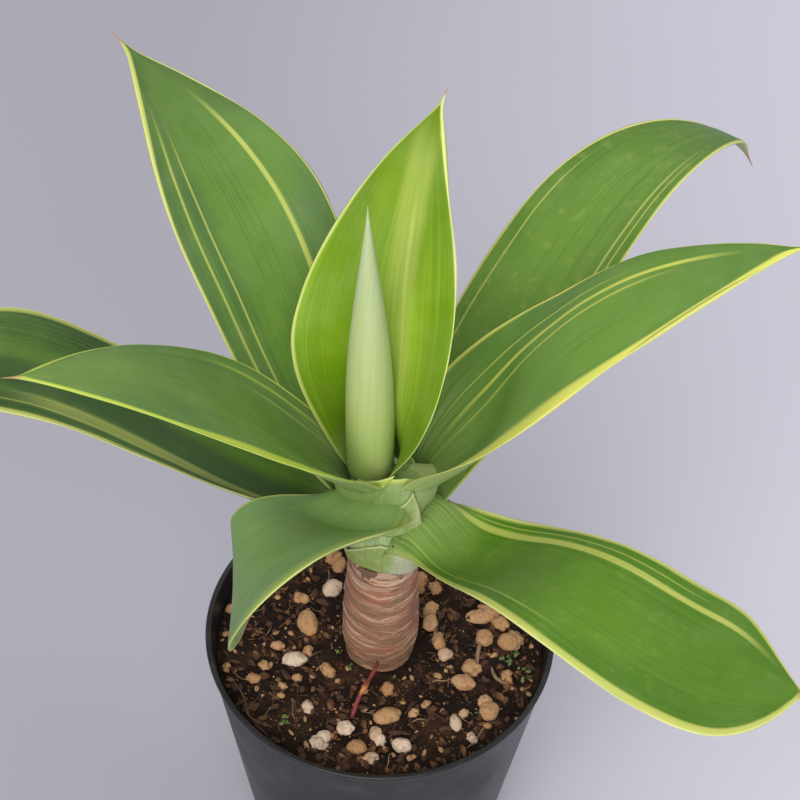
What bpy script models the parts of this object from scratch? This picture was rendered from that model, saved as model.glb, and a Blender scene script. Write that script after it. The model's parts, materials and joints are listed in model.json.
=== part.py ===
"""Variegated agave growing on a short ringed stem in a thin plastic nursery pot.

The origin is the middle of the pot's underside, +Z is up, and +X is to the right of
someone who looks along +Y. Everything is in metres.
"""

import math
from dataclasses import dataclass

import bmesh
import bpy
from mathutils import Vector, noise

MM = 0.001
GAP = 0.0003  # between neighbours that touch

# Pot
POT_HEIGHT = 0.080
POT_TOP_RADIUS = 0.045
POT_BASE_RADIUS = 0.0335
POT_WALL = 0.0010
POT_FLOOR = 0.0014
LIP_WIDTH = 0.0005  # how far the lip stands out of the wall
LIP_HEIGHT = 0.0020
FOOT_EDGE = 0.0008  # bevel round the underside
HOLE_COUNT = 6
HOLE_RADIUS = 0.0040
HOLE_RING_RADIUS = 0.0200
HOLE_STEPS = 20

# Soil
HEADSPACE = 0.0062  # from the lip down to the soil
SOIL_RELIEF = 0.0009
SOIL_LEVEL_AT_STEM = 0.004  # width of the level strip round the stem
SOIL_LEVEL_AT_POT = 0.006
SOIL_RINGS = 9

# Stem
STEM_FOOT_DEPTH = 0.0120  # below the soil
STEM_HEIGHT = 0.0435  # above the soil, to the lowest leaf
STEM_FOOT_RADIUS = 0.0100
STEM_END_RADIUS = 0.0070  # of its flat lower end, in the soil
STEM_END_TAPER = 0.0040
STEM_TOP_RADIUS = 0.0094
RING_PITCH = 0.0030  # from one leaf scar to the next
RING_DEPTH = 0.0004
SCAR_SHARE = 0.35  # of the pitch, from a scar's ridge down to its groove
CORE_HEIGHT = 0.0265  # the part of the stem that the leaves clasp
CORE_FOOT_RADIUS = 0.0087
CORE_TOP_RADIUS = 0.0046
SHOULDER = 0.0015  # height over which the stem narrows to its core
CORE_EDGE = 0.0010

# Leaves
SHEATH_HALF_WIDTH = 0.0125  # half of the arc by which a leaf clasps the stem
FOOT_THICKNESS = 0.0012
BLADE_THICKNESS = 0.0024
TIP_THICKNESS = 0.0010
SPINE_RADIUS = 0.00045
FOOT_SHARE = 0.05  # share of the length over which a leaf's foot is rounded
TIP_FULLNESS = 1.85  # a larger power keeps a leaf wide for longer beyond its widest place
TIP_SHARPNESS = 1.05
MARGIN_FULLNESS = 0.8  # 1 for an elliptical cross-section, less for fuller margins
SECTION_COUNT = 160
LEAF_AROUND = 16
LEAF_RINGS = 22

# Rolled young leaf in the middle
SPEAR_LENGTH = 0.0890
SPEAR_RADIUS = 0.0056
SPEAR_FOOT = (-0.0036, -0.0020)
SPEAR_LEAN = (-0.0022, 0.0)  # how far its tip is from straight above its foot
SPEAR_FOOT_SHARE = 0.03  # share of its length over which its foot is rounded
SPEAR_FULLNESS = 2.1
SPEAR_SHARPNESS = 1.15
SPEAR_AROUND = 20
SPEAR_RINGS = 18

# Red stalk that leans on the stem's foot
STALK_RADIUS = 0.0007
STALK_LENGTH = 0.0165
STALK_LEAN = 27.0
STALK_BEARING = 244.0
STALK_TOP = 0.0092  # height of its upper end above the soil
STALK_OFF = 0.0010  # from the stem
STALK_SAG = 0.0012  # bow of its middle, upwards
STALK_POINTS = 7

# Turned outlines
POT_STEPS = 72
STEM_STEPS = 28

SOIL_LEVEL = POT_HEIGHT - HEADSPACE
STEM_TOP = SOIL_LEVEL + STEM_HEIGHT
CORE_TOP = STEM_TOP + CORE_HEIGHT


@dataclass
class Leaf:
    """One leaf. Lengths are in millimetres and angles in degrees."""

    name: str
    bearing: float  # of its foot on the stem, from +X
    foot: float  # height above the top of the bare stem
    length: float
    width: float
    widest: float  # where it is widest, as a share of its length
    rise: tuple  # slope of its middle line at RISE_AT
    turn: tuple  # how far its heading leaves the bearing at TURN_AT, from 0
    roll: tuple  # tilt to the side at ROLL_AT, from 0
    cup: tuple  # how far its cross-section bends on each side at CUP_AT
    spine: float  # length of the soft spine
    nest: tuple = (0.0, 0.0)  # how far out the foot is: radii of the spear, and millimetres more


RISE_AT = (0.0, 0.12, 0.35, 0.65, 1.0)
TURN_AT = (0.0, 0.35, 1.0)
ROLL_AT = (0.0, 0.15, 0.55, 1.0)
CUP_AT = (0.0, 0.14, 0.5, 1.0)
THICKNESS_AT = (0.0, 0.16, 0.4, 0.75, 1.0)
THICKNESSES = (
    FOOT_THICKNESS,
    1.15 * FOOT_THICKNESS,
    BLADE_THICKNESS,
    BLADE_THICKNESS,
    TIP_THICKNESS,
)

# From the oldest, at the bottom, to the youngest.
LEAVES = (
    Leaf(
        "leaf_1_right_low",
        bearing=-34, foot=1, length=117, width=42, widest=0.82,
        rise=(74, 25, 42, -6, 0), turn=(-14, 28), roll=(2, -6, -9), cup=(56, 17, 5),
        spine=2,
    ),
    Leaf(
        "leaf_2_far_left",
        bearing=178, foot=3, length=127, width=39.5, widest=0.71,
        rise=(70, 20, 26, 9, -21), turn=(-17, 0), roll=(10, 16, -8), cup=(59, 13, 8),
        spine=5,
    ),
    Leaf(
        "leaf_3_back_right",
        bearing=43, foot=5.5, length=141, width=39.5, widest=0.53,
        rise=(70, 55, 48, 40, -63), turn=(0, -13), roll=(-3, -14, -15), cup=(33, 17, 12),
        spine=7,
    ),
    Leaf(
        "leaf_4_front",
        bearing=247, foot=10, length=72, width=48, widest=0.67,
        rise=(71, 51, 34, -34, -120), turn=(-27, -27), roll=(14, 33, 40), cup=(52, 19, 5),
        spine=3,
    ),
    Leaf(
        "leaf_5_back_left",
        bearing=136, foot=12, length=124, width=40, widest=0.58,
        rise=(70, 45, 53, 33, 20), turn=(-10, 2), roll=(-6, -2, 15), cup=(31, 23, 7),
        spine=7,
    ),
    Leaf(
        "leaf_6_right_high",
        bearing=-11, foot=20, length=128, width=43, widest=0.25,
        rise=(73, 58, 70, 48, 15), turn=(-3, 16), roll=(8, 5, 9), cup=(88, 7, 15),
        spine=4, nest=(1.9, -1.674),
    ),
    Leaf(
        "leaf_7_left",
        bearing=214, foot=22, length=108, width=40, widest=0.40,
        rise=(71, 55, 57, 36, 20), turn=(-13, -8), roll=(5, 9, 2), cup=(66, 12, 8),
        spine=4, nest=(1.9, -2.002),
    ),
    Leaf(
        "leaf_8_back",
        bearing=101, foot=25, length=97, width=46.5, widest=0.38,
        rise=(81, 104, 82, 46, 48), turn=(-8, -42), roll=(-37, -28, -15), cup=(90, 30, 5),
        spine=5, nest=(1.8, -2.834),
    ),
)


@dataclass
class Pebble:
    """One stone on the soil: where it lies between the stem (0) and the pot (1), and its size in mm."""

    bearing: float
    out: float
    length: float
    width: float
    turn: float
    pale: bool = False


PEBBLES = (
    Pebble(128, 0.30, 6.8, 5.0, 60, True),
    Pebble(196, 0.36, 6.8, 4.4, 10, True),
    Pebble(350, 0.17, 4.4, 3.8, 40, True),
    Pebble(254, 0.58, 5.0, 4.2, -20, True),
    Pebble(246, 0.73, 4.6, 4.0, 50, True),
    Pebble(270, 0.57, 4.6, 3.6, 80, True),
    Pebble(282, 0.73, 5.6, 4.6, 0, True),
    Pebble(310, 0.70, 5.2, 3.2, 100, True),
    Pebble(165, 0.22, 8.0, 6.0, 100),
    Pebble(262, 0.75, 5.4, 4.8, 30),
    Pebble(277, 0.36, 7.6, 5.0, 15),
    Pebble(29, 0.05, 6.0, 4.4, 80),
    Pebble(64, 0.30, 5.2, 4.2, 20),
    Pebble(344, 0.44, 4.8, 4.4, 60),
    Pebble(332, 0.45, 6.4, 4.8, -10),
    Pebble(325, 0.86, 6.2, 5.2, 70),
    Pebble(3, 0.80, 6.2, 5.6, 0),
    Pebble(20, 0.58, 8.2, 5.0, 10),
    Pebble(5, 0.55, 5.4, 4.8, 90),
    Pebble(116, 0.55, 6.0, 4.0, 80),
    Pebble(148, 0.44, 3.4, 3.0, 0),
    Pebble(185, 0.52, 3.8, 3.0, 0),
)
PEBBLE_HEIGHT = 0.75  # of its width
PEBBLE_SUNK = 0.35  # share of its height below the soil
PEBBLE_REACH = 0.56  # of its length, from its middle to its farthest bump
STONE_UNEVENNESS = 0.28


def blended(places, values, at):
    """Smooth curve through (place, value) pairs, read at one place and level beyond the last."""
    at = min(max(at, places[0]), places[-1])
    slopes = [(b - a) / (q - p) for p, q, a, b in zip(places, places[1:], values, values[1:])]
    tangents = [slopes[0], *((a + b) / 2 for a, b in zip(slopes, slopes[1:])), slopes[-1]]
    i = max(k for k in range(len(slopes)) if places[k] <= at)
    step = places[i + 1] - places[i]
    t = (at - places[i]) / step
    return (
        (2 * t**3 - 3 * t**2 + 1) * values[i]
        + (t**3 - 2 * t**2 + t) * step * tangents[i]
        + (3 * t**2 - 2 * t**3) * values[i + 1]
        + (t**3 - t**2) * step * tangents[i + 1]
    )


def smooth_step(t):
    t = min(max(t, 0.0), 1.0)
    return t * t * (3 - 2 * t)


def drawn_to_ends(place, strength):
    """A place from 0 to 1, moved towards the nearer end by up to the strength."""
    return place - strength * math.sin(2 * math.pi * place) / (2 * math.pi)


def clear_scene():
    for obj in list(bpy.data.objects):
        bpy.data.objects.remove(obj, do_unlink=True)


def new_collection(name, hidden=False):
    collection = bpy.data.collections.new(name)
    bpy.context.scene.collection.children.link(collection)
    collection.hide_render = hidden
    return collection


def material(name, colour, roughness):
    made = bpy.data.materials.new(name)
    made.use_nodes = True
    shader = made.node_tree.nodes["Principled BSDF"]
    shader.inputs["Base Color"].default_value = (*colour, 1.0)
    shader.inputs["Roughness"].default_value = roughness
    return made


def add_object(name, mesh, collection, finish=None):
    obj = bpy.data.objects.new(name, mesh)
    collection.objects.link(obj)
    if finish:
        mesh.materials.append(finish)
    return obj


def as_cutter(obj):
    obj.hide_render = True
    obj.display_type = "WIRE"
    return obj


def mesh_from(bm, name, smooth=True):
    """The bmesh as a mesh whose faces point outwards."""
    bmesh.ops.recalc_face_normals(bm, faces=bm.faces)
    if bm.calc_volume(signed=True) < 0:
        bmesh.ops.reverse_faces(bm, faces=bm.faces)
    mesh = bpy.data.meshes.new(name)
    bm.to_mesh(mesh)
    bm.free()
    if smooth:
        mesh.shade_smooth()
    return mesh


def turned(name, profile, steps, collection, finish=None):
    """A solid turned around Z. The profile starts and ends on the axis and runs down its outer side."""
    bm = bmesh.new()
    corners = [bm.verts.new((r, 0.0, z)) for r, z in profile]
    for a, b in zip(corners, corners[1:]):
        bm.edges.new((a, b))
    mesh = bpy.data.meshes.new(name)
    bm.to_mesh(mesh)
    bm.free()
    obj = add_object(name, mesh, collection, finish)
    screw = obj.modifiers.new("turn", "SCREW")
    screw.axis = "Z"
    screw.steps = screw.render_steps = steps
    screw.use_merge_vertices = True
    screw.merge_threshold = 1e-5
    screw.use_smooth_shade = True
    return obj


def cut(obj, cutter):
    modifier = obj.modifiers.new("cut_" + cutter.name, "BOOLEAN")
    modifier.operation = "DIFFERENCE"
    modifier.solver = "EXACT"
    modifier.object = cutter


def evaluated_mesh(obj):
    bpy.context.view_layer.update()
    graph = bpy.context.evaluated_depsgraph_get()
    return bpy.data.meshes.new_from_object(obj.evaluated_get(graph))


def pot_radius(z):
    """Outside of the wall, without the lip."""
    return POT_BASE_RADIUS + (POT_TOP_RADIUS - POT_BASE_RADIUS) * z / POT_HEIGHT


def make_pot(parts, cutters):
    plastic = material("black_plastic", (0.028, 0.029, 0.033), 0.45)
    top = pot_radius(POT_HEIGHT) - LIP_WIDTH
    below_lip = POT_HEIGHT - LIP_HEIGHT
    profile = [
        (0.0, POT_FLOOR),
        (pot_radius(POT_FLOOR) - POT_WALL - LIP_WIDTH, POT_FLOOR),
        (top - POT_WALL, POT_HEIGHT - POT_WALL / 2),
        (top - POT_WALL / 2, POT_HEIGHT),
        (top + LIP_WIDTH / 2, POT_HEIGHT),
        (top + LIP_WIDTH, POT_HEIGHT - LIP_WIDTH / 2),
        (pot_radius(below_lip), below_lip),
        (pot_radius(below_lip) - LIP_WIDTH, below_lip - LIP_WIDTH),
        (pot_radius(FOOT_EDGE) - LIP_WIDTH, FOOT_EDGE),
        (POT_BASE_RADIUS - LIP_WIDTH - FOOT_EDGE, 0.0),
        (0.0, 0.0),
    ]
    pot = turned("pot", profile, POT_STEPS, parts, plastic)
    bm = bmesh.new()
    for k in range(HOLE_COUNT):
        turn = 2 * math.pi * k / HOLE_COUNT
        made = bmesh.ops.create_cone(
            bm,
            cap_ends=True,
            segments=HOLE_STEPS,
            radius1=HOLE_RADIUS,
            radius2=HOLE_RADIUS,
            depth=4 * POT_FLOOR,
        )
        place = Vector((math.cos(turn), math.sin(turn), 0.0)) * HOLE_RING_RADIUS
        bmesh.ops.translate(bm, verts=made["verts"], vec=place)
    cut(pot, as_cutter(add_object("drain_holes", mesh_from(bm, "drain_holes"), cutters)))
    return pot


def stem_profile(clearance=0.0):
    """Turned outline of the stem from its tip down, wider all round by the clearance."""
    core_top = CORE_TOP + clearance
    profile = [(0.0, core_top), (CORE_TOP_RADIUS - CORE_EDGE + clearance, core_top)]
    profile.append((CORE_TOP_RADIUS + clearance, CORE_TOP - CORE_EDGE))
    profile.append((CORE_FOOT_RADIUS + clearance, STEM_TOP + SHOULDER))
    rings = round(STEM_HEIGHT / RING_PITCH)
    foot = SOIL_LEVEL - STEM_FOOT_DEPTH
    for k in range(rings + 1):
        share = k / rings
        z = STEM_TOP - share * STEM_HEIGHT
        radius = STEM_TOP_RADIUS + share * (STEM_FOOT_RADIUS - STEM_TOP_RADIUS) + clearance
        profile.append((radius, z))
        if k < rings:
            profile.append((radius - RING_DEPTH, z - SCAR_SHARE * RING_PITCH))
    profile.append((STEM_FOOT_RADIUS + clearance, foot + STEM_END_TAPER))
    profile.append((STEM_END_RADIUS + clearance, foot - clearance))
    profile.append((0.0, foot - clearance))
    return profile


def make_stem(parts):
    bark = material("stem_bark", (0.42, 0.28, 0.21), 0.85)
    return turned("stem", stem_profile(), STEM_STEPS, parts, bark)


def core_radius(z):
    """Radius of the stem inside the leaf bases."""
    share = (z - STEM_TOP - SHOULDER) / (CORE_HEIGHT - SHOULDER)
    return CORE_FOOT_RADIUS + (CORE_TOP_RADIUS - CORE_FOOT_RADIUS) * min(max(share, 0.0), 1.0)


def stone(bm, length, width, height, seed):
    """An uneven rounded stone around the origin. Returns its vertices."""
    made = bmesh.ops.create_icosphere(bm, subdivisions=2, radius=0.5)
    shift = Vector((seed * 3.7, seed * 1.3, seed * 2.1))
    for v in made["verts"]:
        v.co *= 1.0 + STONE_UNEVENNESS * noise.noise(v.co * 2.2 + shift)
    bmesh.ops.scale(bm, verts=made["verts"], vec=(length, width, height))
    return made["verts"]


def pebble_places():
    """(pebble, x, y) for each pebble, clear of the stem and of the pot."""
    wall = pot_radius(SOIL_LEVEL) - LIP_WIDTH - POT_WALL - 2 * GAP
    for pebble in PEBBLES:
        half = PEBBLE_REACH * pebble.length * MM
        nearest = STEM_FOOT_RADIUS + half + GAP
        reach = nearest + pebble.out * (wall - half - GAP - nearest)
        turn = math.radians(pebble.bearing)
        yield pebble, reach * math.cos(turn), reach * math.sin(turn)


def soil_height(x, y):
    """Height of the soil's surface, which is level where it meets the stem and the pot."""
    wall = pot_radius(SOIL_LEVEL)
    reach = math.hypot(x, y)
    free = smooth_step((reach - STEM_FOOT_RADIUS) / SOIL_LEVEL_AT_STEM)
    free *= smooth_step((wall - reach) / SOIL_LEVEL_AT_POT)
    bumps = noise.noise(Vector((x, y, 0.0)) * 110.0) + 0.5 * noise.noise(Vector((x, y, 0.02)) * 260.0)
    return SOIL_LEVEL + free * SOIL_RELIEF * bumps


def make_soil(parts, cutters):
    earth = material("soil", (0.035, 0.022, 0.016), 0.95)
    side = -LIP_WIDTH - POT_WALL - GAP
    floor = POT_FLOOR + GAP
    edge = pot_radius(SOIL_LEVEL) + side
    inner = STEM_FOOT_RADIUS + GAP
    foot = SOIL_LEVEL - STEM_FOOT_DEPTH - GAP
    profile = [(0.0, foot), (STEM_END_RADIUS + GAP, foot), (inner, foot + STEM_END_TAPER)]
    profile += [
        (inner + (edge - inner) * k / SOIL_RINGS, SOIL_LEVEL) for k in range(SOIL_RINGS + 1)
    ]
    profile += [(pot_radius(floor) + side, floor), (0.0, floor)]
    drawn = turned("soil_turned", profile, POT_STEPS // 2, parts)
    mesh = evaluated_mesh(drawn)
    bpy.data.objects.remove(drawn, do_unlink=True)
    bm = bmesh.new()
    bm.from_mesh(mesh)
    bmesh.ops.remove_doubles(bm, verts=bm.verts, dist=1e-5)
    for v in bm.verts:
        if abs(v.co.z - SOIL_LEVEL) < 1e-6:
            v.co.z = soil_height(v.co.x, v.co.y)
    soil = add_object("soil", mesh_from(bm, "soil"), parts, earth)
    bm = bmesh.new()
    for k, (pebble, x, y) in enumerate(pebble_places()):
        place_pebble(bm, pebble, x, y, k, GAP)
    cut(soil, as_cutter(add_object("pebble_pockets", mesh_from(bm, "pebble_pockets"), cutters)))
    return soil


def place_pebble(bm, pebble, x, y, seed, clearance=0.0):
    grow = 2 * clearance
    height = PEBBLE_HEIGHT * pebble.width * MM
    verts = stone(bm, pebble.length * MM + grow, pebble.width * MM + grow, height + grow, seed)
    turn = math.radians(pebble.turn)
    matrix = ((math.cos(turn), -math.sin(turn)), (math.sin(turn), math.cos(turn)))
    z = soil_height(x, y) + height * (0.5 - PEBBLE_SUNK)
    for v in verts:
        a, b = v.co.x, v.co.y
        v.co.x = x + matrix[0][0] * a + matrix[0][1] * b
        v.co.y = y + matrix[1][0] * a + matrix[1][1] * b
        v.co.z += z


def make_pebbles(parts):
    pale = material("pale_stone", (0.62, 0.56, 0.50), 0.80)
    tan = material("tan_stone", (0.48, 0.31, 0.19), 0.85)
    for k, (pebble, x, y) in enumerate(pebble_places()):
        bm = bmesh.new()
        place_pebble(bm, pebble, x, y, k)
        name = f"pebble_{k + 1:02d}"
        add_object(name, mesh_from(bm, name), parts, pale if pebble.pale else tan)


def leaf_sections(leaf):
    """Centre, across, up, half angle of the cup and share of the length, from foot to tip."""
    length = leaf.length * MM
    spine = leaf.spine * MM
    foot_z = STEM_TOP + leaf.foot * MM
    foot_radius = core_radius(foot_z) + GAP + FOOT_THICKNESS / 2
    foot_radius = max(foot_radius, leaf.nest[0] * SPEAR_RADIUS + leaf.nest[1] * MM)
    bearing = math.radians(leaf.bearing)
    centre = Vector((foot_radius * math.cos(bearing), foot_radius * math.sin(bearing), foot_z))
    clasp = math.degrees(SHEATH_HALF_WIDTH / foot_radius)
    step = (length + spine) / SECTION_COUNT
    sections = []
    last = None
    for k in range(SECTION_COUNT + 1):
        share = k * step / length
        rise = math.radians(blended(RISE_AT, leaf.rise, share))
        heading = math.radians(leaf.bearing + blended(TURN_AT, (0, *leaf.turn), share))
        roll = math.radians(blended(ROLL_AT, (0, *leaf.roll), share))
        along = Vector(
            (math.cos(rise) * math.cos(heading), math.cos(rise) * math.sin(heading), math.sin(rise))
        )
        level = Vector((-math.sin(heading), math.cos(heading), 0.0))
        upper = along.cross(level)
        if last:
            centre = centre + (along + last) / 2 * step
        last = along
        across = level * math.cos(roll) + upper * math.sin(roll)
        up = upper * math.cos(roll) - level * math.sin(roll)
        cup = math.radians(max(foot_fullness(share) * blended(CUP_AT, (clasp, *leaf.cup), share), 1.0))
        sections.append((centre, across, up, cup, share))
    return sections


def foot_fullness(share):
    """The leaf's foot is round: this grows from 0 at its end to 1 where the sheath is whole."""
    return math.sqrt(max(1 - (1 - min(share / FOOT_SHARE, 1.0)) ** 2, 0.0))


def leaf_half_width(leaf, share):
    """Half of the leaf's width, measured round its curve."""
    half = leaf.width * MM / 2
    if share < leaf.widest:
        width = SHEATH_HALF_WIDTH + (half - SHEATH_HALF_WIDTH) * smooth_step(share / leaf.widest)
    else:
        beyond = min((share - leaf.widest) / (1 - leaf.widest), 1.0)
        width = half * (1 - beyond**TIP_FULLNESS) ** TIP_SHARPNESS
    return foot_fullness(share) * width


def leaf_point(leaf, sections, along, turn):
    """Point of the leaf's skin: along it from 0 to 1, and round its cross-section."""
    place = along * (len(sections) - 1)
    k = min(int(place), len(sections) - 2)
    t = place - k
    centre, across, up, cup, share = (a + (b - a) * t for a, b in zip(sections[k], sections[k + 1]))
    end = sections[-1][4]
    spine = SPINE_RADIUS * (1 - 0.6 * smooth_step((share - 0.97) / (end - 0.97)))
    fade = math.sqrt(max(1 - along**40, 0.0))
    half = max(leaf_half_width(leaf, share), spine * fade if share > 0.5 else 0.0)
    middle = blended(THICKNESS_AT, THICKNESSES, share)
    thickness = min(middle, 1.6 * half)
    x = math.cos(turn)
    bend = cup * x
    off = math.copysign(abs(math.sin(turn)) ** MARGIN_FULLNESS, math.sin(turn)) * thickness / 2
    side = math.sin(bend) / cup * half - math.sin(bend) * off
    rise = (1 - math.cos(bend)) / cup * half + math.cos(bend) * off
    return centre + across * side + up * rise


def make_leaf(leaf, parts, finish):
    """A ball drawn out along the leaf's middle line: its poles are the foot and the tip.

    Its rings are set closer together towards both ends.
    """
    sections = leaf_sections(leaf)
    bm = bmesh.new()
    bmesh.ops.create_uvsphere(bm, u_segments=LEAF_AROUND, v_segments=LEAF_RINGS, radius=1.0)
    for v in bm.verts:
        polar = math.acos(min(max(-v.co.z, -1.0), 1.0)) / math.pi
        along = drawn_to_ends(polar, 0.75)
        turn = math.atan2(v.co.y, v.co.x) if 0.001 < polar < 0.999 else 0.0
        v.co = leaf_point(leaf, sections, along, turn)
    return add_object(leaf.name, mesh_from(bm, leaf.name), parts, finish)


def make_leaves(parts):
    old = material("leaf_green", (0.10, 0.24, 0.06), 0.45)
    young = material("young_leaf_green", (0.30, 0.45, 0.08), 0.45)
    for leaf in LEAVES:
        make_leaf(leaf, parts, young if leaf.name == "leaf_8_back" else old)


def make_spear(parts):
    """The youngest leaf, still rolled: a slender cone with a swollen foot and a drawn-out tip."""
    skin = material("spear_green", (0.42, 0.55, 0.30), 0.50)
    bm = bmesh.new()
    bmesh.ops.create_uvsphere(bm, u_segments=SPEAR_AROUND, v_segments=SPEAR_RINGS, radius=1.0)
    foot = CORE_TOP + 3 * GAP
    for v in bm.verts:
        polar = math.acos(min(max(-v.co.z, -1.0), 1.0)) / math.pi
        share = drawn_to_ends(polar, 0.7)
        rounding = min(math.sqrt(share / SPEAR_FOOT_SHARE), 1.0)
        radius = SPEAR_RADIUS * rounding * (1 - share**SPEAR_FULLNESS) ** SPEAR_SHARPNESS
        turn = math.atan2(v.co.y, v.co.x)
        pole = not 0.001 < polar < 0.999
        v.co = (
            SPEAR_FOOT[0] + share * SPEAR_LEAN[0] + (0.0 if pole else radius * math.cos(turn)),
            SPEAR_FOOT[1] + share * SPEAR_LEAN[1] + (0.0 if pole else radius * math.sin(turn)),
            foot + share * SPEAR_LENGTH,
        )
    return add_object("leaf_9_spear", mesh_from(bm, "leaf_9_spear"), parts, skin)


def make_stalk(parts):
    """A dry red stalk whose upper end rests against the stem and whose foot stands on the soil."""
    red = material("red_stalk", (0.35, 0.04, 0.05), 0.60)
    lean = math.radians(STALK_LEAN)
    bearing = math.radians(STALK_BEARING)
    top = Vector((0.0, -(STEM_FOOT_RADIUS + STALK_RADIUS + STALK_OFF), SOIL_LEVEL + STALK_TOP))
    level = math.cos(lean)
    along = Vector((math.cos(bearing) * level, math.sin(bearing) * level, -math.sin(lean)))
    curve = bpy.data.curves.new("red_stalk", "CURVE")
    curve.dimensions = "3D"
    curve.bevel_depth = STALK_RADIUS
    curve.bevel_resolution = 2
    curve.use_fill_caps = True
    spline = curve.splines.new("POLY")
    spline.points.add(STALK_POINTS - 1)
    for k, point in enumerate(spline.points):
        share = k / (STALK_POINTS - 1)
        sag = Vector((0.0, 0.0, STALK_SAG * math.sin(math.pi * share)))
        point.co = (*(top + along * (share * STALK_LENGTH) + sag), 1.0)
        point.radius = 0.75 + 0.25 * share
    return add_object("red_stalk", curve, parts, red)


def main():
    clear_scene()
    parts = new_collection("potted_agave")
    cutters = new_collection("cutters", hidden=True)
    make_pot(parts, cutters)
    make_soil(parts, cutters)
    make_stem(parts)
    make_pebbles(parts)
    make_leaves(parts)
    make_spear(parts)
    make_stalk(parts)


main()
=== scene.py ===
"""Looks of a potted variegated agave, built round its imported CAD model.

The pot, soil, stones, stem, leaves and stalk are made finer here, each in the place of
its CAD node, and small litter, roots, leaf bases and their sheaths are added. Everything
is in metres, in the CAD model's frame: +Z up, with the origin under the middle of the pot.
"""

import json
import math
import random
from dataclasses import dataclass

import bmesh
import bpy
from mathutils import Matrix, Vector, noise


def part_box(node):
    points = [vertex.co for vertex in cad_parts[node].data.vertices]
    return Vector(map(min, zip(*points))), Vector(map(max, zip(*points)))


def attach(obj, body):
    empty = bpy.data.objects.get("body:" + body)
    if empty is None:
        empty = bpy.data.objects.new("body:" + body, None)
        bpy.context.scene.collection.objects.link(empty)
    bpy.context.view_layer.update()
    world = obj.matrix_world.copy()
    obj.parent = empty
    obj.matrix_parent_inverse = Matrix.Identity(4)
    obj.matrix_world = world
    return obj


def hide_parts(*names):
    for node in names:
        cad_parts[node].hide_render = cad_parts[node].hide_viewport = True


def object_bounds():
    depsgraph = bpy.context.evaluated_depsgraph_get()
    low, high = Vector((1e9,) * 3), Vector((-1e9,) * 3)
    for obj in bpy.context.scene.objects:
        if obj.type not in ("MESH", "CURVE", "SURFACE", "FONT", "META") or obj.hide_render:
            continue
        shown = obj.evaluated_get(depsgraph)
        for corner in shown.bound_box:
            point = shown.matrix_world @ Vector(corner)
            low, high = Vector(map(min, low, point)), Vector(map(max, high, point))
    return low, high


bl_info = {
    "name": "Potted Agave",
    "version": (1, 0, 0),
    "blender": (4, 5, 0),
    "location": "View3D > Sidebar > Agave",
    "description": "Builds the visible pieces of a potted variegated agave",
    "category": "Object",
}

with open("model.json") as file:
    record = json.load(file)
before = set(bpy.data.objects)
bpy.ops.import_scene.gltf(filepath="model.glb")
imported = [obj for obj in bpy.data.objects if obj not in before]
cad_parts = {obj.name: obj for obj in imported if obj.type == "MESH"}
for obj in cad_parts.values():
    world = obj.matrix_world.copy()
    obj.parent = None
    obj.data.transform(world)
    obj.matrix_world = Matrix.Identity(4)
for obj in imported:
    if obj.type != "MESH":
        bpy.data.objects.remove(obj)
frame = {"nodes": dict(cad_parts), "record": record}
CAD_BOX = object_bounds()

MM = 0.001
BODY = "root"

WATER_SPACE = 6.2 * MM  # from the soil to the pot's rim
BARE_STEM = 43.5 * MM  # from the soil to the lowest leaf
HOLE_COUNT = 6
SHEATH_WALL = 0.42 * MM
SCALE_WALL = 0.18 * MM
POT_STEPS, SOIL_STEPS, STEM_STEPS, BASE_STEPS = 160, 230, 150, 120  # of each turned shape
FLOOR_HALF = 6.0
AIM = (0.0, 0.0, 0.12)  # where the lamps point
SKY = (0.95, 0.965, 1.0, 1.0)
SKY_STRENGTH = 0.62
LAMP_COLOUR = (1.0, 0.98, 0.94)
SENSOR = 36.0  # width of the camera's sensor in mm
STAND_BACK = 1.4885  # how many plant heights the camera stands in front of the pot
STAND_UP = 2.4302  # and how many above the floor
POT_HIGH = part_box("pot")[1]
SOIL_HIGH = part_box("soil")[1]
STEM_LOW, STEM_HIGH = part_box("stem")
SOIL_LEVEL = POT_HIGH.z - WATER_SPACE
STEM_TOP = SOIL_LEVEL + BARE_STEM
STEM_RADIUS = (STEM_HIGH.x - STEM_LOW.x) / 2
LEAVES = sorted(n for n in frame["nodes"] if n.startswith("leaf_") and "spear" not in n)
PEBBLES = sorted(n for n in frame["nodes"] if n.startswith("pebble_"))
PALE_PEBBLES = {
    s["node"] for s in frame["record"]["subparts"] if s["material_slot"] == "pale_stone"
}
LEAF_AROUND = 16  # points in each ring of a CAD leaf
LEAF_FIELDS = ("across", "along", "half_width", "upper")


# ---------------------------------------------------------------- settings


def colour_property(name, description, default):
    return bpy.props.FloatVectorProperty(
        name=name,
        description=description,
        default=default,
        subtype="COLOR",
        size=3,
        min=0.0,
        max=1.0,
    )


def length_property(name, description, default):
    return bpy.props.FloatProperty(
        name=name, description=description, default=default, unit="LENGTH", min=0.0
    )


def count_property(name, description, default, low, high):
    return bpy.props.IntProperty(
        name=name, description=description, default=default, min=low, max=high
    )


class AgavePotSettings(bpy.types.PropertyGroup):
    plastic: colour_property("Plastic", "Colour of the pot", (0.0120, 0.0118, 0.0133))
    dust: colour_property("Dust", "Colour of dried splashes on the pot", (0.10, 0.09, 0.08))
    wall: length_property("Wall", "Thickness of the pot's wall", 1.0 * MM)
    floor: length_property("Floor", "Thickness of the pot's floor", 1.4 * MM)
    lip: length_property("Lip", "How far the lip stands out of the wall", 0.5 * MM)
    lip_height: length_property("Lip height", "Height of the lip's band", 2.0 * MM)
    hole_radius: length_property("Hole radius", "Radius of a drain hole", 4.0 * MM)
    hole_ring: length_property("Hole ring", "Radius of the ring of drain holes", 20.0 * MM)
    base_radius: length_property("Base radius", "Radius of the underside", 33.5 * MM)


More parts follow.
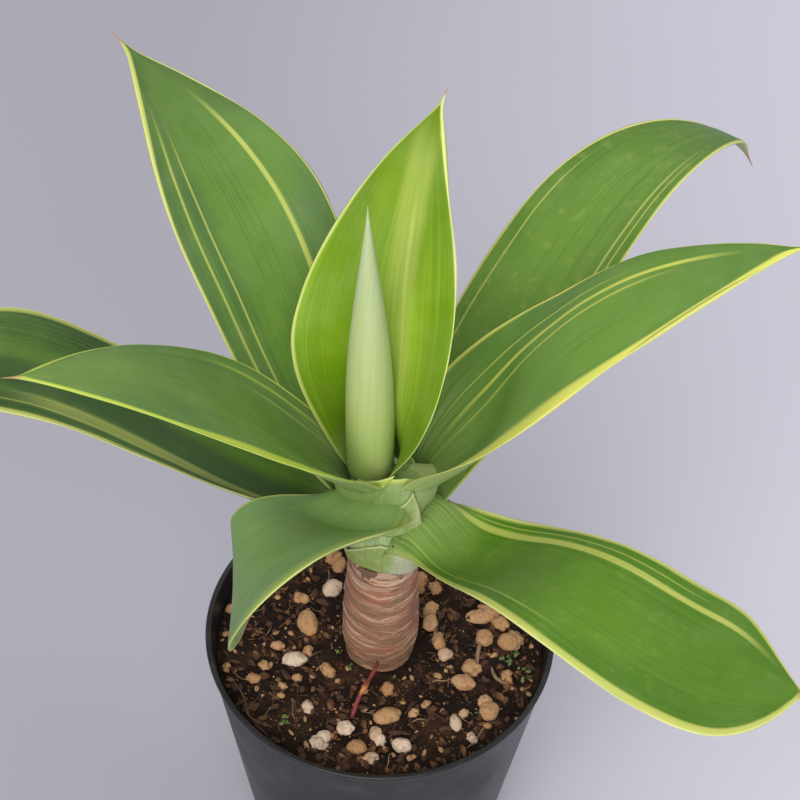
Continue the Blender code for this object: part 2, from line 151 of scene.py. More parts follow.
class AgaveSoilSettings(bpy.types.PropertyGroup):
    dark: colour_property("Dark soil", "Colour of the damp soil", (0.0125, 0.0062, 0.0040))
    light: colour_property("Light soil", "Colour of the drier crumbs", (0.048, 0.023, 0.013))
    relief: length_property("Relief", "Height of the clods", 1.3 * MM)
    crumbs: count_property("Crumbs", "Number of loose crumbs", 2200, 0, 4000)
    chips: count_property("Chips", "Number of flakes of bark", 420, 0, 2000)
    fibres: count_property("Fibres", "Number of fine roots", 60, 0, 300)


class AgaveStoneSettings(bpy.types.PropertyGroup):
    pale: colour_property("Pale stone", "Colour of the pale stones", (0.66, 0.52, 0.40))
    tan: colour_property("Tan stone", "Colour of the tan stones", (0.47, 0.27, 0.13))
    roughening: length_property("Roughening", "Depth of the stones' pits", 0.22 * MM)


class AgaveStemSettings(bpy.types.PropertyGroup):
    bark: colour_property("Bark", "Colour between the leaf scars", (0.42, 0.235, 0.148))
    ridge: colour_property("Ridge", "Colour of the scars' dry ridges", (0.66, 0.50, 0.365))
    moss: colour_property("Moss", "Colour of the stem's damp foot", (0.19, 0.120, 0.050))
    pitch: length_property("Pitch", "Height from one scar to the next", 2.5 * MM)
    depth: length_property("Depth", "Depth of a scar", 0.42 * MM)


class AgaveLeafSettings(bpy.types.PropertyGroup):
    underside: colour_property("Underside", "Colour of the leaves' backs", (0.24, 0.35, 0.15))
    foot: colour_property("Foot", "Colour of the leaves' bases", (0.41, 0.51, 0.21))
    dry: colour_property("Dry", "Colour of dried tips and scars", (0.40, 0.24, 0.13))
    wave: length_property("Wave", "Height of the leaves' soft waves", 0.5 * MM)
    levels: count_property("Levels", "How often each leaf's net is refined", 3, 1, 3)


class AgaveStageSettings(bpy.types.PropertyGroup):
    floor: colour_property("Floor", "Colour of the floor", (0.357, 0.350, 0.402))
    focal: bpy.props.FloatProperty(
        name="Focal length", description="Of the camera", default=104.7, unit="CAMERA", min=10.0
    )
    elevation: bpy.props.FloatProperty(
        name="Elevation",
        description="How far the camera looks down",
        default=math.radians(48.9),
        subtype="ANGLE",
    )
    roll: bpy.props.FloatProperty(
        name="Roll", description="Tilt of the camera", default=math.radians(2.4), subtype="ANGLE"
    )


# ---------------------------------------------------------------- node trees


class Net:
    """A node tree that grows by one node at a time. An input takes a number, a colour or a socket."""

    def __init__(self, tree, shader=None):
        self.tree = tree
        self.shader = shader

    def feed(self, socket, value):
        if isinstance(value, bpy.types.NodeSocket):
            self.tree.links.new(value, socket)
        elif socket.type == "RGBA" and not isinstance(value, (int, float)):
            socket.default_value = (*value[:3], 1.0)
        else:
            socket.default_value = value

    def node(self, kind, inputs=None, **settings):
        made = self.tree.nodes.new(kind)
        for name, value in settings.items():
            setattr(made, name, value)
        for name, value in (inputs or {}).items():
            self.feed(made.inputs[name], value)
        return made

    def maths(self, operation, a, b=0.0):
        return self.node("ShaderNodeMath", {0: a, 1: b}, operation=operation).outputs[0]

    def times(self, a, b):
        return self.maths("MULTIPLY", a, b)

    def plus(self, a, b):
        return self.maths("ADD", a, b)

    def minus(self, a, b):
        return self.maths("SUBTRACT", a, b)

    def mix(self, share, a, b):
        return self.node("ShaderNodeMix", {0: share, 6: a, 7: b}, data_type="RGBA").outputs[2]

    def over(self, colour, paint, value, *span):
        """The colour with a paint laid over it as the value goes through a span of between."""
        return self.mix(self.between(value, *span), colour, paint)

    def between(self, value, low, high, from_value=0.0, to_value=1.0):
        """A smooth step from one value to another as the input goes from low to high."""
        made = self.node(
            "ShaderNodeMapRange",
            {0: value, 1: low, 2: high, 3: from_value, 4: to_value},
            interpolation_type="SMOOTHSTEP",
        )
        return made.outputs[0]

    def noise(self, vector, scale, detail=2.0, roughness=0.5):
        made = self.node(
            "ShaderNodeTexNoise",
            {"Vector": vector, "Scale": scale, "Detail": detail, "Roughness": roughness},
        )
        return made.outputs["Fac"]

    def place(self):
        return self.node("ShaderNodeTexCoord").outputs["Object"]

    def part(self, axis, place):
        return self.node("ShaderNodeSeparateXYZ", {0: place}).outputs[axis]

    def bearing(self, place):
        return self.maths("ARCTAN2", self.part("Y", place), self.part("X", place))

    def fitted(self, place, shift=(0.0, 0.0, 0.0), scale=(1.0, 1.0, 1.0)):
        """The place after a shift and a stretch."""
        return self.node("ShaderNodeMapping", {0: place, 1: shift, 3: scale}).outputs[0]

    def attribute(self, name):
        return self.node("ShaderNodeAttribute", attribute_name=name).outputs["Fac"]

    def vector(self, x, y, z):
        return self.node("ShaderNodeCombineXYZ", {0: x, 1: y, 2: z}).outputs[0]

    def bump(self, height, strength, distance, normal=None):
        inputs = {"Height": height, "Strength": strength, "Distance": distance}
        if normal:
            inputs["Normal"] = normal
        return self.node("ShaderNodeBump", inputs).outputs["Normal"]

    def group(self, name, **inputs):
        made = self.node("ShaderNodeGroup", node_tree=bpy.data.node_groups[name])
        for socket, value in inputs.items():
            self.feed(made.inputs[socket.replace("_", " ")], value)
        return made.outputs

    def paint(self, **looks):
        """Feeds the sockets of the material's shader."""
        for socket, value in looks.items():
            self.feed(self.shader.inputs[socket.replace("_", " ")], value)


def new_group(name, inputs, outputs):
    """An empty shader node group. Its inputs are numbers, or vectors where the default is None.

    Returns its net, its input sockets and the sockets of its output node.
    """
    tree = bpy.data.node_groups.new(name, "ShaderNodeTree")
    for socket, default in inputs.items():
        kind = "NodeSocketVector" if default is None else "NodeSocketFloat"
        made = tree.interface.new_socket(name=socket, in_out="INPUT", socket_type=kind)
        if default is not None:
            made.default_value = default
    for socket in outputs:
        tree.interface.new_socket(name=socket, in_out="OUTPUT", socket_type="NodeSocketFloat")
    net = Net(tree)
    return net, net.node("NodeGroupInput").outputs, net.node("NodeGroupOutput").inputs


def build_stripe_group():
    """A stripe along a leaf at one share of its width, which fades in and out along the leaf."""
    blade = {"Across": 0.0, "Along": 0.0, "Half Width": 0.02, "Wander": 0.5}
    stripe = {"Place": 0.0, "Width": 0.0015, "Start": 0.0, "End": 1.0, "Strength": 1.0}
    net, given, out = new_group("leaf_stripe", {**blade, **stripe}, ("Mask",))
    wander = net.times(net.minus(given["Wander"], 0.5), 0.10)
    off = net.minus(net.plus(given["Across"], wander), given["Place"])
    away = net.times(net.maths("ABSOLUTE", off), given["Half Width"])
    half = net.times(given["Width"], 0.5)
    body = net.between(away, net.times(half, 0.55), net.times(half, 1.35), 1.0, 0.0)
    along, start, end = given["Along"], given["Start"], given["End"]
    fade_in = net.between(along, start, net.plus(start, 0.10))
    fade_out = net.between(along, net.minus(end, 0.14), end, 1.0, 0.0)
    mask = net.times(net.times(body, fade_in), fade_out)
    net.feed(out["Mask"], net.times(mask, given["Strength"]))


def build_grain_group():
    """Fine lines that run the length of a leaf, as its veins do."""
    inputs = {"Across": 0.0, "Along": 0.0, "Lines": 40.0, "Seed": 0.0}
    net, given, out = new_group("leaf_grain", inputs, ("Fine", "Broad"))
    x = net.times(given["Across"], given["Lines"])
    fine = net.vector(x, net.times(given["Along"], 2.2), given["Seed"])
    broad = net.vector(net.times(x, 0.22), net.times(given["Along"], 1.4), given["Seed"])
    net.feed(out["Fine"], net.noise(fine, 1.0, 3.0, 0.6))
    net.feed(out["Broad"], net.noise(broad, 1.0, 2.0, 0.5))


def build_speckle_group():
    """Scattered small spots: a mask that is 1 in the middle of each."""
    inputs = {"Vector": None, "Scale": 400.0, "Share": 0.1, "Size": 0.3}
    net, given, out = new_group("speckle", inputs, ("Mask",))
    cell = net.node("ShaderNodeTexVoronoi", {"Vector": given["Vector"], "Scale": given["Scale"]})
    kept = net.maths("LESS_THAN", net.part("X", cell.outputs["Color"]), given["Share"])
    size = given["Size"]
    spot = net.between(cell.outputs["Distance"], net.times(size, 0.5), size, 1.0, 0.0)
    net.feed(out["Mask"], net.times(spot, kept))


def build_mottle_group():
    """Cloudy variation at three sizes, for colour and for relief."""
    inputs = {"Vector": None, "Scale": 200.0}
    net, given, out = new_group("mottle", inputs, ("Cloud", "Patch", "Grit"))
    for socket, finer, detail, roughness in (
        ("Cloud", 1.0, 3.0, 0.55),
        ("Patch", 3.5, 3.0, 0.55),
        ("Grit", 14.0, 2.0, 0.6),
    ):
        scale = net.times(given["Scale"], finer)
        net.feed(out[socket], net.noise(given["Vector"], scale, detail, roughness))


def build_groups():
    build_stripe_group()
    build_grain_group()
    build_speckle_group()
    build_mottle_group()


def new_material(name, **constants):
    """A Principled material. Returns it with its net, which holds its shader node."""
    made = bpy.data.materials.new(name)
    made.use_nodes = True
    shader = made.node_tree.nodes["Principled BSDF"]
    for socket, value in constants.items():
        shader.inputs[socket.replace("_", " ")].default_value = value
    return made, Net(made.node_tree, shader)


def shade(colour, *factors):
    """The colour times one factor, or times one each for its red, green and blue."""
    return tuple(c * f for c, f in zip(colour, factors if factors[1:] else factors * 3))


# ---------------------------------------------------------------- meshes


def smooth_step(t):
    t = min(max(t, 0.0), 1.0)
    return t * t * (3 - 2 * t)


def mesh_of(name, bm):
    """A new mesh with the bmesh's shape. The bmesh is freed."""
    mesh = bpy.data.meshes.new(name)
    bm.to_mesh(mesh)
    bm.free()
    return mesh


def linked(name, data):
    """A new object in the scene."""
    made = bpy.data.objects.new(name, data)
    bpy.context.scene.collection.objects.link(made)
    return made


def as_drawn(whole):
    """The shape of an object with its modifiers applied, as a bmesh. The object is removed."""
    bpy.context.view_layer.update()
    graph = bpy.context.evaluated_depsgraph_get()
    mesh = bpy.data.meshes.new_from_object(whole.evaluated_get(graph))
    bpy.data.objects.remove(whole, do_unlink=True)
    bm = bmesh.new()
    bm.from_mesh(mesh)
    return bm


def thicken(piece, wall):
    modifier = piece.modifiers.new("thickness", "SOLIDIFY")
    modifier.thickness = wall
    modifier.offset = 0.0


def merged_copy(node, fields=()):
    """The mesh of a CAD node with its loose triangles joined up, and empty fields on its points."""
    bm = bmesh.new()
    bm.from_mesh(frame["nodes"][node].data)
    for field in fields:
        bm.verts.layers.float.new(field)
    bm.edges.layers.float.new("crease_edge")
    bmesh.ops.remove_doubles(bm, verts=bm.verts, dist=1e-6)
    return bm


def refined(bm, levels):
    """The mesh after subdivision, as a new bmesh. Attributes on its points go with it."""
    coarse = linked("coarse", mesh_of("coarse", bm))
    modifier = coarse.modifiers.new("refine", "SUBSURF")
    modifier.levels = modifier.render_levels = levels
    return as_drawn(coarse)


def outward(bm):
    bmesh.ops.recalc_face_normals(bm, faces=bm.faces)
    if bm.calc_volume(signed=True) < 0:
        bmesh.ops.reverse_faces(bm, faces=bm.faces)


def add_piece(name, bm, finish, nodes=()):
    """Makes a piece of the object from a bmesh: it rides on the body and may stand for CAD nodes."""
    mesh = mesh_of(name, bm)
    mesh.shade_smooth()
    mesh.materials.append(finish)
    piece = linked(name, mesh)
    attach(piece, BODY)
    if nodes:
        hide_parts(*nodes)
    return piece


def spun(profile, steps):
    """A closed solid from an outline of (radius, height) that starts and ends on the Z axis."""
    bm = bmesh.new()
    corners = [bm.verts.new((r, 0.0, z)) for r, z in profile]
    edges = [bm.edges.new(pair) for pair in zip(corners, corners[1:])]
    bmesh.ops.spin(
        bm,
        geom=corners + edges,
        axis=(0, 0, 1),
        cent=(0, 0, 0),
        steps=steps,
        angle=2 * math.pi,
        use_merge=True,
    )
    bmesh.ops.remove_doubles(bm, verts=bm.verts, dist=1e-6)
    outward(bm)
    return bm


def along_table(table, at):
    """The value at a place in a table of (place, value, ...) rows, drawn smoothly between rows."""
    if at <= table[0][0]:
        return table[0][1]
    for low, high in zip(table, table[1:]):
        if at <= high[0]:
            share = smooth_step((at - low[0]) / (high[0] - low[0]))
            return low[1] + (high[1] - low[1]) * share
    return table[-1][1]


def bumpy(co, scale, seed=0.0):
    return noise.noise(Vector((co[0] * scale, co[1] * scale, co[2] * scale + seed)))


def tube(bm, points, radii, sides=6):
    """Adds a closed round tube through the points to the bmesh."""
    last = None
    for k, (point, radius) in enumerate(zip(points, radii)):
        ahead = points[min(k + 1, len(points) - 1)] - points[max(k - 1, 0)]
        turn = ahead.to_track_quat("Z", "Y").to_matrix().to_4x4()
        ring = bmesh.ops.create_circle(
            bm, segments=sides, radius=radius, matrix=Matrix.Translation(point) @ turn
        )["verts"]
        edges = [e for v in ring for e in v.link_edges]
        if last:
            bmesh.ops.bridge_loops(bm, edges=list(set(edges + last)))
        else:
            bmesh.ops.contextual_create(bm, geom=ring)
        last = edges
    bmesh.ops.contextual_create(bm, geom=ring)


# ---------------------------------------------------------------- pot


def pot_plastic(pot):
    made, net = new_material("black_plastic", Specular_IOR_Level=0.36)
    place = net.place()
    cloud, patch, grit = net.group("mottle", Vector=place, Scale=38.0)[:3]
    dusty = net.between(patch, 0.52, 0.78, 0.0, 0.22)
    colour = net.mix(dusty, pot.plastic, pot.dust)
    splash = net.group("speckle", Vector=place, Scale=260.0, Share=0.05, Size=0.28)["Mask"]
    colour = net.mix(net.times(splash, 0.35), colour, pot.dust)
    net.paint(Base_Color=colour, Roughness=net.between(cloud, 0.3, 0.7, 0.36, 0.50))
    net.paint(Normal=net.bump(grit, 0.12, 0.0003))
    return made


def pot_radius(pot, z):
    """Outside of the pot's wall, below the lip."""
    top = POT_HIGH.x - pot.lip
    return pot.base_radius - pot.lip + (top - pot.base_radius + pot.lip) * z / POT_HIGH.z


class AGAVE_OT_pot(bpy.types.Operator):
    """Turn the thin pot with its lip, and cut the drain holes"""

    bl_idname = "agave.pot"
    bl_label = "Pot"

    def execute(self, context):
        pot = context.scene.agave_pot
        top = POT_HIGH.z
        lip_foot = top - pot.lip_height
        rim = pot_radius(pot, top)
        bead = pot.wall / 2
        step = 0.35 * MM
        profile = [(0.0, pot.floor), (pot_radius(pot, pot.floor) - pot.wall - step, pot.floor)]
        profile.append((pot_radius(pot, 2 * pot.floor) - pot.wall, 2 * pot.floor))
        profile += [
            (pot_radius(pot, z) - pot.wall, z)
            for z in (pot.floor + (lip_foot - pot.floor) * k / 12 for k in range(2, 13))
        ]
        profile += [
            (rim - bead + bead * math.cos(turn), top - bead + bead * math.sin(turn))
            for turn in (math.pi * (1 - k / 8) for k in range(5))
        ]
        profile += [
            (rim + pot.lip - bead + bead * math.cos(turn), top - bead + bead * math.sin(turn))
            for turn in (math.pi * (0.5 - k / 8) for k in range(5))
        ]
        profile.append((pot_radius(pot, lip_foot) + pot.lip, lip_foot + step))
        profile.append((pot_radius(pot, lip_foot) + pot.lip * 0.7, lip_foot))
        profile += [(pot_radius(pot, z), z) for z in (lip_foot * (1 - k / 14) for k in range(14))]
        profile += [(pot.base_radius - pot.lip - 0.8 * MM, 0.0), (0.0, 0.0)]
        bm = spun(profile, POT_STEPS)
        cutter = bmesh.new()
        for k in range(HOLE_COUNT):
            turn = 2 * math.pi * k / HOLE_COUNT
            spot = Vector((math.cos(turn), math.sin(turn), 0.0)) * pot.hole_ring
            bmesh.ops.create_cone(
                cutter,
                cap_ends=True,
                segments=40,
                radius1=pot.hole_radius,
                radius2=pot.hole_radius,
                depth=6 * pot.floor,
                matrix=Matrix.Translation(spot),
            )
        bm = with_cuts(bm, cutter)
        piece = add_piece("pot_shell", bm, pot_plastic(pot), ("pot",))
        piece.data.set_sharp_from_angle(angle=math.radians(38))
        return {"FINISHED"}


def with_cuts(bm, cutter):
    """The mesh with the cutter's shapes taken out of it."""
    whole = linked("whole", mesh_of("whole", bm))
    tool = linked("cutter", mesh_of("cutter", cutter))
    modifier = whole.modifiers.new("cut", "BOOLEAN")
    modifier.operation = "DIFFERENCE"
    modifier.solver = "EXACT"
    modifier.object = tool
    bm = as_drawn(whole)
    bpy.data.objects.remove(tool, do_unlink=True)
    return bm


# ---------------------------------------------------------------- soil


def soil_finish(soil):
    made, net = new_material("soil", Roughness=0.95, Specular_IOR_Level=0.2)
    place = net.place()
    cloud, patch, grit = net.group("mottle", Vector=place, Scale=130.0)[:3]
    colour = net.over(soil.dark, soil.light, cloud, 0.42, 0.72)
    rusty = shade(soil.light, 1.6)
    colour = net.over(colour, rusty, patch, 0.60, 0.78)
    black = shade(soil.dark, 0.45)
    colour = net.over(colour, black, grit, 0.30, 0.48, 0.8, 0.0)
    net.paint(Base_Color=colour)
    relief = net.plus(net.times(patch, 0.7), net.times(grit, 0.5))
    net.paint(Normal=net.bump(relief, 0.9, 0.0009))
    return made


def soil_height(soil, x, y):
    """Height of the soil's surface: clods at three sizes, a little lower by the pot's wall."""
    reach = math.hypot(x, y) / SOIL_HIGH.x
    spot = Vector((x, y, 0.0))
    clods = bumpy(spot, 120.0) + 0.55 * bumpy(spot, 330.0, 3.0) + 0.30 * bumpy(spot, 900.0, 7.0)
    edge = 0.8 * MM * smooth_step((reach - 0.86) / 0.14)
    return SOIL_LEVEL - 0.3 * MM + soil.relief * clods - edge


class AGAVE_OT_soil(bpy.types.Operator):
    """Fill the pot with cloddy soil"""

    bl_idname = "agave.soil"
    bl_label = "Soil"

    def execute(self, context):
        soil = context.scene.agave_soil
        pot = context.scene.agave_pot
        gap = 0.3 * MM
        top = pot_radius(pot, SOIL_LEVEL) - pot.wall - gap
        low = pot.floor + gap
        foot = pot_radius(pot, low) - pot.wall - gap - 0.5 * MM
        rings = 84
        profile = [(top * k / rings, SOIL_LEVEL) for k in range(rings + 1)]
        profile += [(foot, low), (0.0, low)]
        bm = spun(profile, SOIL_STEPS)
        for v in bm.verts:
            if v.co.z > SOIL_LEVEL - 1e-6:
                v.co.z = soil_height(soil, v.co.x, v.co.y)
        add_piece("potting_soil", bm, soil_finish(soil), ("soil",))
        return {"FINISHED"}


# Loose stones that aren't in the CAD model, in millimetres: x, y, length, width and tone,
# where 0 is dark brown, 0.5 tan and 1 pale.
GRAVEL = (
    (-14.0, -31.0, 4.0, 4.4, 0.95), (1.2, -29.5, 3.0, 3.4, 0.9), (-17.5, -21.0, 3.4, 3.0, 0.85),
    (-0.8, -35.2, 4.0, 3.4, 0.75), (2.4, -13.8, 4.0, 3.0, 0.45), (-13.0, -9.5, 3.0, 4.0, 0.5),
    (-18.5, -3.2, 3.0, 2.8, 0.5), (-22.0, 13.5, 3.0, 2.6, 0.5), (15.5, 1.0, 3.4, 4.8, 0.5),
    (10.0, 20.5, 5.0, 4.0, 0.5), (14.0, 18.0, 3.0, 4.0, 0.55), (24.5, -7.0, 4.4, 4.0, 0.6),
    (34.5, 2.5, 5.6, 5.0, 0.6), (28.5, 11.5, 6.6, 4.6, 0.5), (33.0, -9.0, 3.4, 3.2, 0.45),
    (27.5, -17.0, 3.4, 4.0, 0.6), (31.5, 8.0, 5.0, 4.0, 0.55), (-32.0, -12.5, 3.8, 3.0, 0.45),
    (-39.0, -9.0, 2.6, 2.4, 0.55), (-38.5, 9.0, 3.0, 5.0, 0.45), (-29.5, -8.6, 3.0, 2.6, 0.5),
    (13.0, 11.5, 4.6, 4.0, 0.5), (-13.5, 26.5, 4.0, 5.6, 0.45), (22.0, -20.5, 3.0, 2.4, 0.7),
    (24.4, -28.0, 2.6, 3.0, 0.8), (9.5, -21.0, 3.0, 2.6, 0.6), (12.5, -18.5, 2.4, 2.2, 0.5),
    (-24.5, -14.5, 2.6, 2.2, 0.5), (-21.0, -11.5, 3.2, 2.6, 0.5), (19.0, 27.0, 5.0, 4.0, 0.5),
    (-20.0, 31.0, 4.6, 3.8, 0.5), (0.5, 33.0, 5.0, 4.2, 0.6), (10.0, 31.0, 3.6, 3.0, 0.45),
    (-6.0, 24.0, 3.4, 2.8, 0.5), (-30.0, 20.0, 4.0, 3.4, 0.5),
)


def pebble_stone(tone):
    """An uneven stone's colour from dark brown over tan to pale, read from its tone."""
    made, net = new_material("loose_stone", Roughness=0.9, Specular_IOR_Level=0.25)
    place = net.place()
    cloud, patch, grit = net.group("mottle", Vector=place, Scale=230.0)[:3]
    dark, tan, pale, rust = tone
    at = net.attribute("tone")
    colour = net.over(dark, tan, at, 0.1, 0.5)
    colour = net.over(colour, pale, at, 0.55, 0.95)
    colour = net.over(colour, rust, cloud, 0.5, 0.75, 0.0, 0.5)
    colour = net.over(colour, dark, patch, 0.32, 0.5, 0.45, 0.0)
    net.paint(Base_Color=colour, Normal=net.bump(net.plus(patch, grit), 0.6, 0.0004))
    return made


def stone_shapes(detail, count, uneven=0.45):
    """A few uneven round stones of unit size to copy, with 20, 40 or 320 faces each."""
    shapes = []
    for k in range(count):
        bm = bmesh.new()
        if detail == 2:
            bmesh.ops.create_uvsphere(bm, u_segments=8, v_segments=5, radius=0.5)
        else:
            bmesh.ops.create_icosphere(bm, subdivisions=detail, radius=0.5)
        for v in bm.verts:
            lumps = noise.noise(v.co * 2.4 + Vector((k * 3.7, 0.0, 0.0)))
            v.co *= 1.0 + uneven * lumps + 0.5 * uneven * noise.noise(v.co * 6.1 + Vector((0, k, 0)))
        mesh = mesh_of("stone_shape", bm)
        mesh.attributes.new("tone", "FLOAT", "POINT")
        shapes.append(mesh)
    return shapes


def scatter(bm, shape, spot, size, turn, tone):
    """Adds a copy of a stone's shape with its tone to the mesh."""
    place = Matrix.Translation(spot) @ turn.to_4x4() @ Matrix.Diagonal((*size, 1.0))
    shape.transform(place)
    shape.attributes["tone"].data.foreach_set("value", [tone] * len(shape.vertices))
    bm.from_mesh(shape)
    shape.transform(place.inverted())


def free_spots(generator, count, low, high):
    """Random places on the soil between two radii, spread evenly."""
    for _ in range(count):
        reach = math.sqrt(generator.uniform(low * low, high * high))
        turn = generator.uniform(0.0, 2 * math.pi)
        yield reach * math.cos(turn), reach * math.sin(turn)


class AGAVE_OT_litter(bpy.types.Operator):
    """Scatter gravel, crumbs, fine roots and moss on the soil"""

    bl_idname = "agave.litter"
    bl_label = "Litter"

    def execute(self, context):
        soil = context.scene.agave_soil
        stones = context.scene.agave_stones
        rust = shade(stones.tan, 0.95, 0.72, 0.5)
        brown = shade(soil.light, 1.5)
        finish = pebble_stone((brown, stones.tan, stones.pale, rust))
        generator = random.Random(7)
        wall = pot_radius(context.scene.agave_pot, SOIL_LEVEL) - 2.2 * MM

        bm = bmesh.new()
        round_stones = stone_shapes(3, 8, 0.5)
        for k, (x, y, length, width, tone) in enumerate(GRAVEL):
            size = Vector((length, width, 0.8 * width)) * MM
            turn = Matrix.Rotation(generator.uniform(0, math.pi), 3, "Z")
            z = soil_height(soil, x * MM, y * MM) + 0.12 * size.z
            scatter(bm, round_stones[k % 8], (x * MM, y * MM, z), size, turn, tone)
        add_piece("gravel", bm, finish)

        bm = bmesh.new()
        small = stone_shapes(1, 8, 0.7)
        large = stone_shapes(2, 8, 0.7)
        tones = (0.0, 0.0, 0.0, 0.0, 0.04, 0.10, 0.15, 0.25, 0.40, 0.50)
        for x, y in free_spots(generator, soil.crumbs, STEM_RADIUS + 0.5 * MM, wall):
            longest = (0.35 + 2.0 * generator.random() ** 4) * MM
            size = Vector((1.0, generator.uniform(0.45, 0.9), generator.uniform(0.3, 0.7))) * longest
            turn = Matrix.Rotation(generator.uniform(0, math.pi), 3, "Z")
            turn = turn @ Matrix.Rotation(generator.uniform(-0.7, 0.7), 3, "X")
            shape = generator.choice(large if longest > 1.1 * MM else small)
            z = soil_height(soil, x, y) + 0.1 * longest
            scatter(bm, shape, (x, y, z), size, turn, generator.choice(tones))
        for x, y in free_spots(generator, soil.chips, STEM_RADIUS + 2.0 * MM, wall - 1.0 * MM):
            longest = generator.uniform(1.6, 4.6) * MM
            size = Vector((longest, longest * generator.uniform(0.25, 0.55), 0.35 * MM))
            turn = Matrix.Rotation(generator.uniform(0, math.pi), 3, "Z")
            turn = turn @ Matrix.Rotation(generator.uniform(-0.8, 0.8), 3, "X")
            turn = turn @ Matrix.Rotation(generator.uniform(-0.4, 0.4), 3, "Y")
            z = soil_height(soil, x, y) + 0.2 * MM
            tone = generator.choice((0.0, 0.0, 0.0, 0.05, 0.12))
            scatter(bm, generator.choice(large), (x, y, z), size, turn, tone)
        add_piece("crumbs", bm, finish)

        self.roots(context, soil, generator, wall)
        self.moss(soil, generator)
        return {"FINISHED"}

    def roots(self, context, soil, generator, wall):
        """Fine dry roots and bits of bark fibre, and two longer roots by the wall."""
        bm = bmesh.new()
        for x, y in free_spots(generator, soil.fibres, STEM_RADIUS + 4 * MM, wall - 3 * MM):
            length = generator.uniform(2.5, 8.0) * MM
            bearing = generator.uniform(0, 2 * math.pi)
            bend = generator.uniform(-1.0, 1.0)
            radius = generator.uniform(0.05, 0.13) * MM
            self.root(bm, soil, (x, y), bearing, bend, length, radius, generator, wall)
        for x, y, bearing, bend, length, radius in (
            (-38.0, -12.0, -78, 34, 24, 0.30), (-34.0, -20.5, -50, 20, 12, 0.22),
            (23.0, -31.0, 38, 16, 13, 0.34), (25.0, 5.0, -62, -46, 13, 0.60),
            (29.0, -6.0, -70, 62, 9, 0.50), (12.5, -11.5, 8, 30, 8, 0.20),
        ):
            start = (x * MM, y * MM)
            turns = (math.radians(bearing), math.radians(bend))
            self.root(bm, soil, start, *turns, length * MM, radius * MM, generator, wall)
        made, net = new_material("dry_root", Roughness=0.85, Specular_IOR_Level=0.25)
        tone = net.attribute("tone")
        cloud = net.noise(net.place(), 500.0, 3.0)
        colour = net.mix(tone, (0.10, 0.055, 0.03), (0.52, 0.36, 0.21))
        colour = net.over(colour, (0.13, 0.07, 0.035), cloud, 0.45, 0.7, 0.0, 0.6)
        net.paint(Base_Color=colour, Normal=net.bump(cloud, 0.5, 0.0002))
        add_piece("fine_roots", bm, made)

    def root(self, bm, soil, start, bearing, bend, length, radius, generator, wall):
        points = []
        x, y = start
        count = 12
        lift = generator.uniform(0.0, 1.0)
        for k in range(count):
            share = k / (count - 1)
            reach = math.hypot(x, y)
            if reach > wall - 1.2 * MM:
                x, y = x * (wall - 1.2 * MM) / reach, y * (wall - 1.2 * MM) / reach
            arch = math.sin(math.pi * share) * 0.9 * MM * lift
            points.append(Vector((x, y, soil_height(soil, x, y) + radius * 0.6 + arch)))
            heading = bearing + bend * share + 0.35 * math.sin(5 * share + lift * 6)
            x += math.cos(heading) * length / count
            y += math.sin(heading) * length / count
        radii = [radius * (1.0 - 0.6 * abs(2 * k / (count - 1) - 1) ** 3) for k in range(count)]
        tone = generator.random() ** 2 * 0.8
        alone = bmesh.new()
        layer = alone.verts.layers.float.new("tone")
        tube(alone, points, radii, 6)
        for v in alone.verts:
            v[layer] = tone
        outward(alone)
        bm.from_mesh(mesh_of("root", alone))

    def moss(self, soil, generator):
        """Green sprouts: tufts of small leaves that stand in the damp corners."""
        bm = bmesh.new()
        sprout = stone_shapes(2, 1, 0.3)[0]
        for x, y, size, count in (
            (33.0, -4.0, 1.9, 9), (37.5, -7.5, 2.4, 7), (35.0, -1.0, 1.4, 6),
            (-23.0, -25.0, 2.0, 6), (-21.0, -29.5, 1.2, 4), (-8.0, -7.5, 1.4, 6),
            (-10.5, -3.0, 1.2, 5), (25.0, -20.0, 1.3, 5), (-30.0, -5.0, 1.2, 4),
            (4.0, -10.8, 1.1, 5),
        ):
            for _ in range(count):
                a = x * MM + generator.uniform(-1.0, 1.0) * size * 0.8 * MM
                b = y * MM + generator.uniform(-1.0, 1.0) * size * 0.8 * MM
                long = size * generator.uniform(0.5, 1.0) * MM
                turn = Matrix.Rotation(generator.uniform(0, 6.28), 3, "Z")
                turn = turn @ Matrix.Rotation(generator.uniform(0.2, 1.1), 3, "Y")
                spot = (a, b, soil_height(soil, a, b) + 0.35 * long)
                shape = Vector((long, long * 0.6, long * 0.22))
                scatter(bm, sprout, spot, shape, turn, generator.random())
        made, net = new_material("moss", Roughness=0.6)
        colour = net.mix(net.attribute("tone"), (0.045, 0.10, 0.02), (0.15, 0.20, 0.045))
        cloud = net.noise(net.place(), 900.0, 2.0)
        colour = net.over(colour, (0.30, 0.26, 0.10), cloud, 0.5, 0.7, 0.0, 0.5)
        net.paint(Base_Color=colour, Normal=net.bump(cloud, 0.4, 0.0002))
        add_piece("moss", bm, made)


# ---------------------------------------------------------------- stones


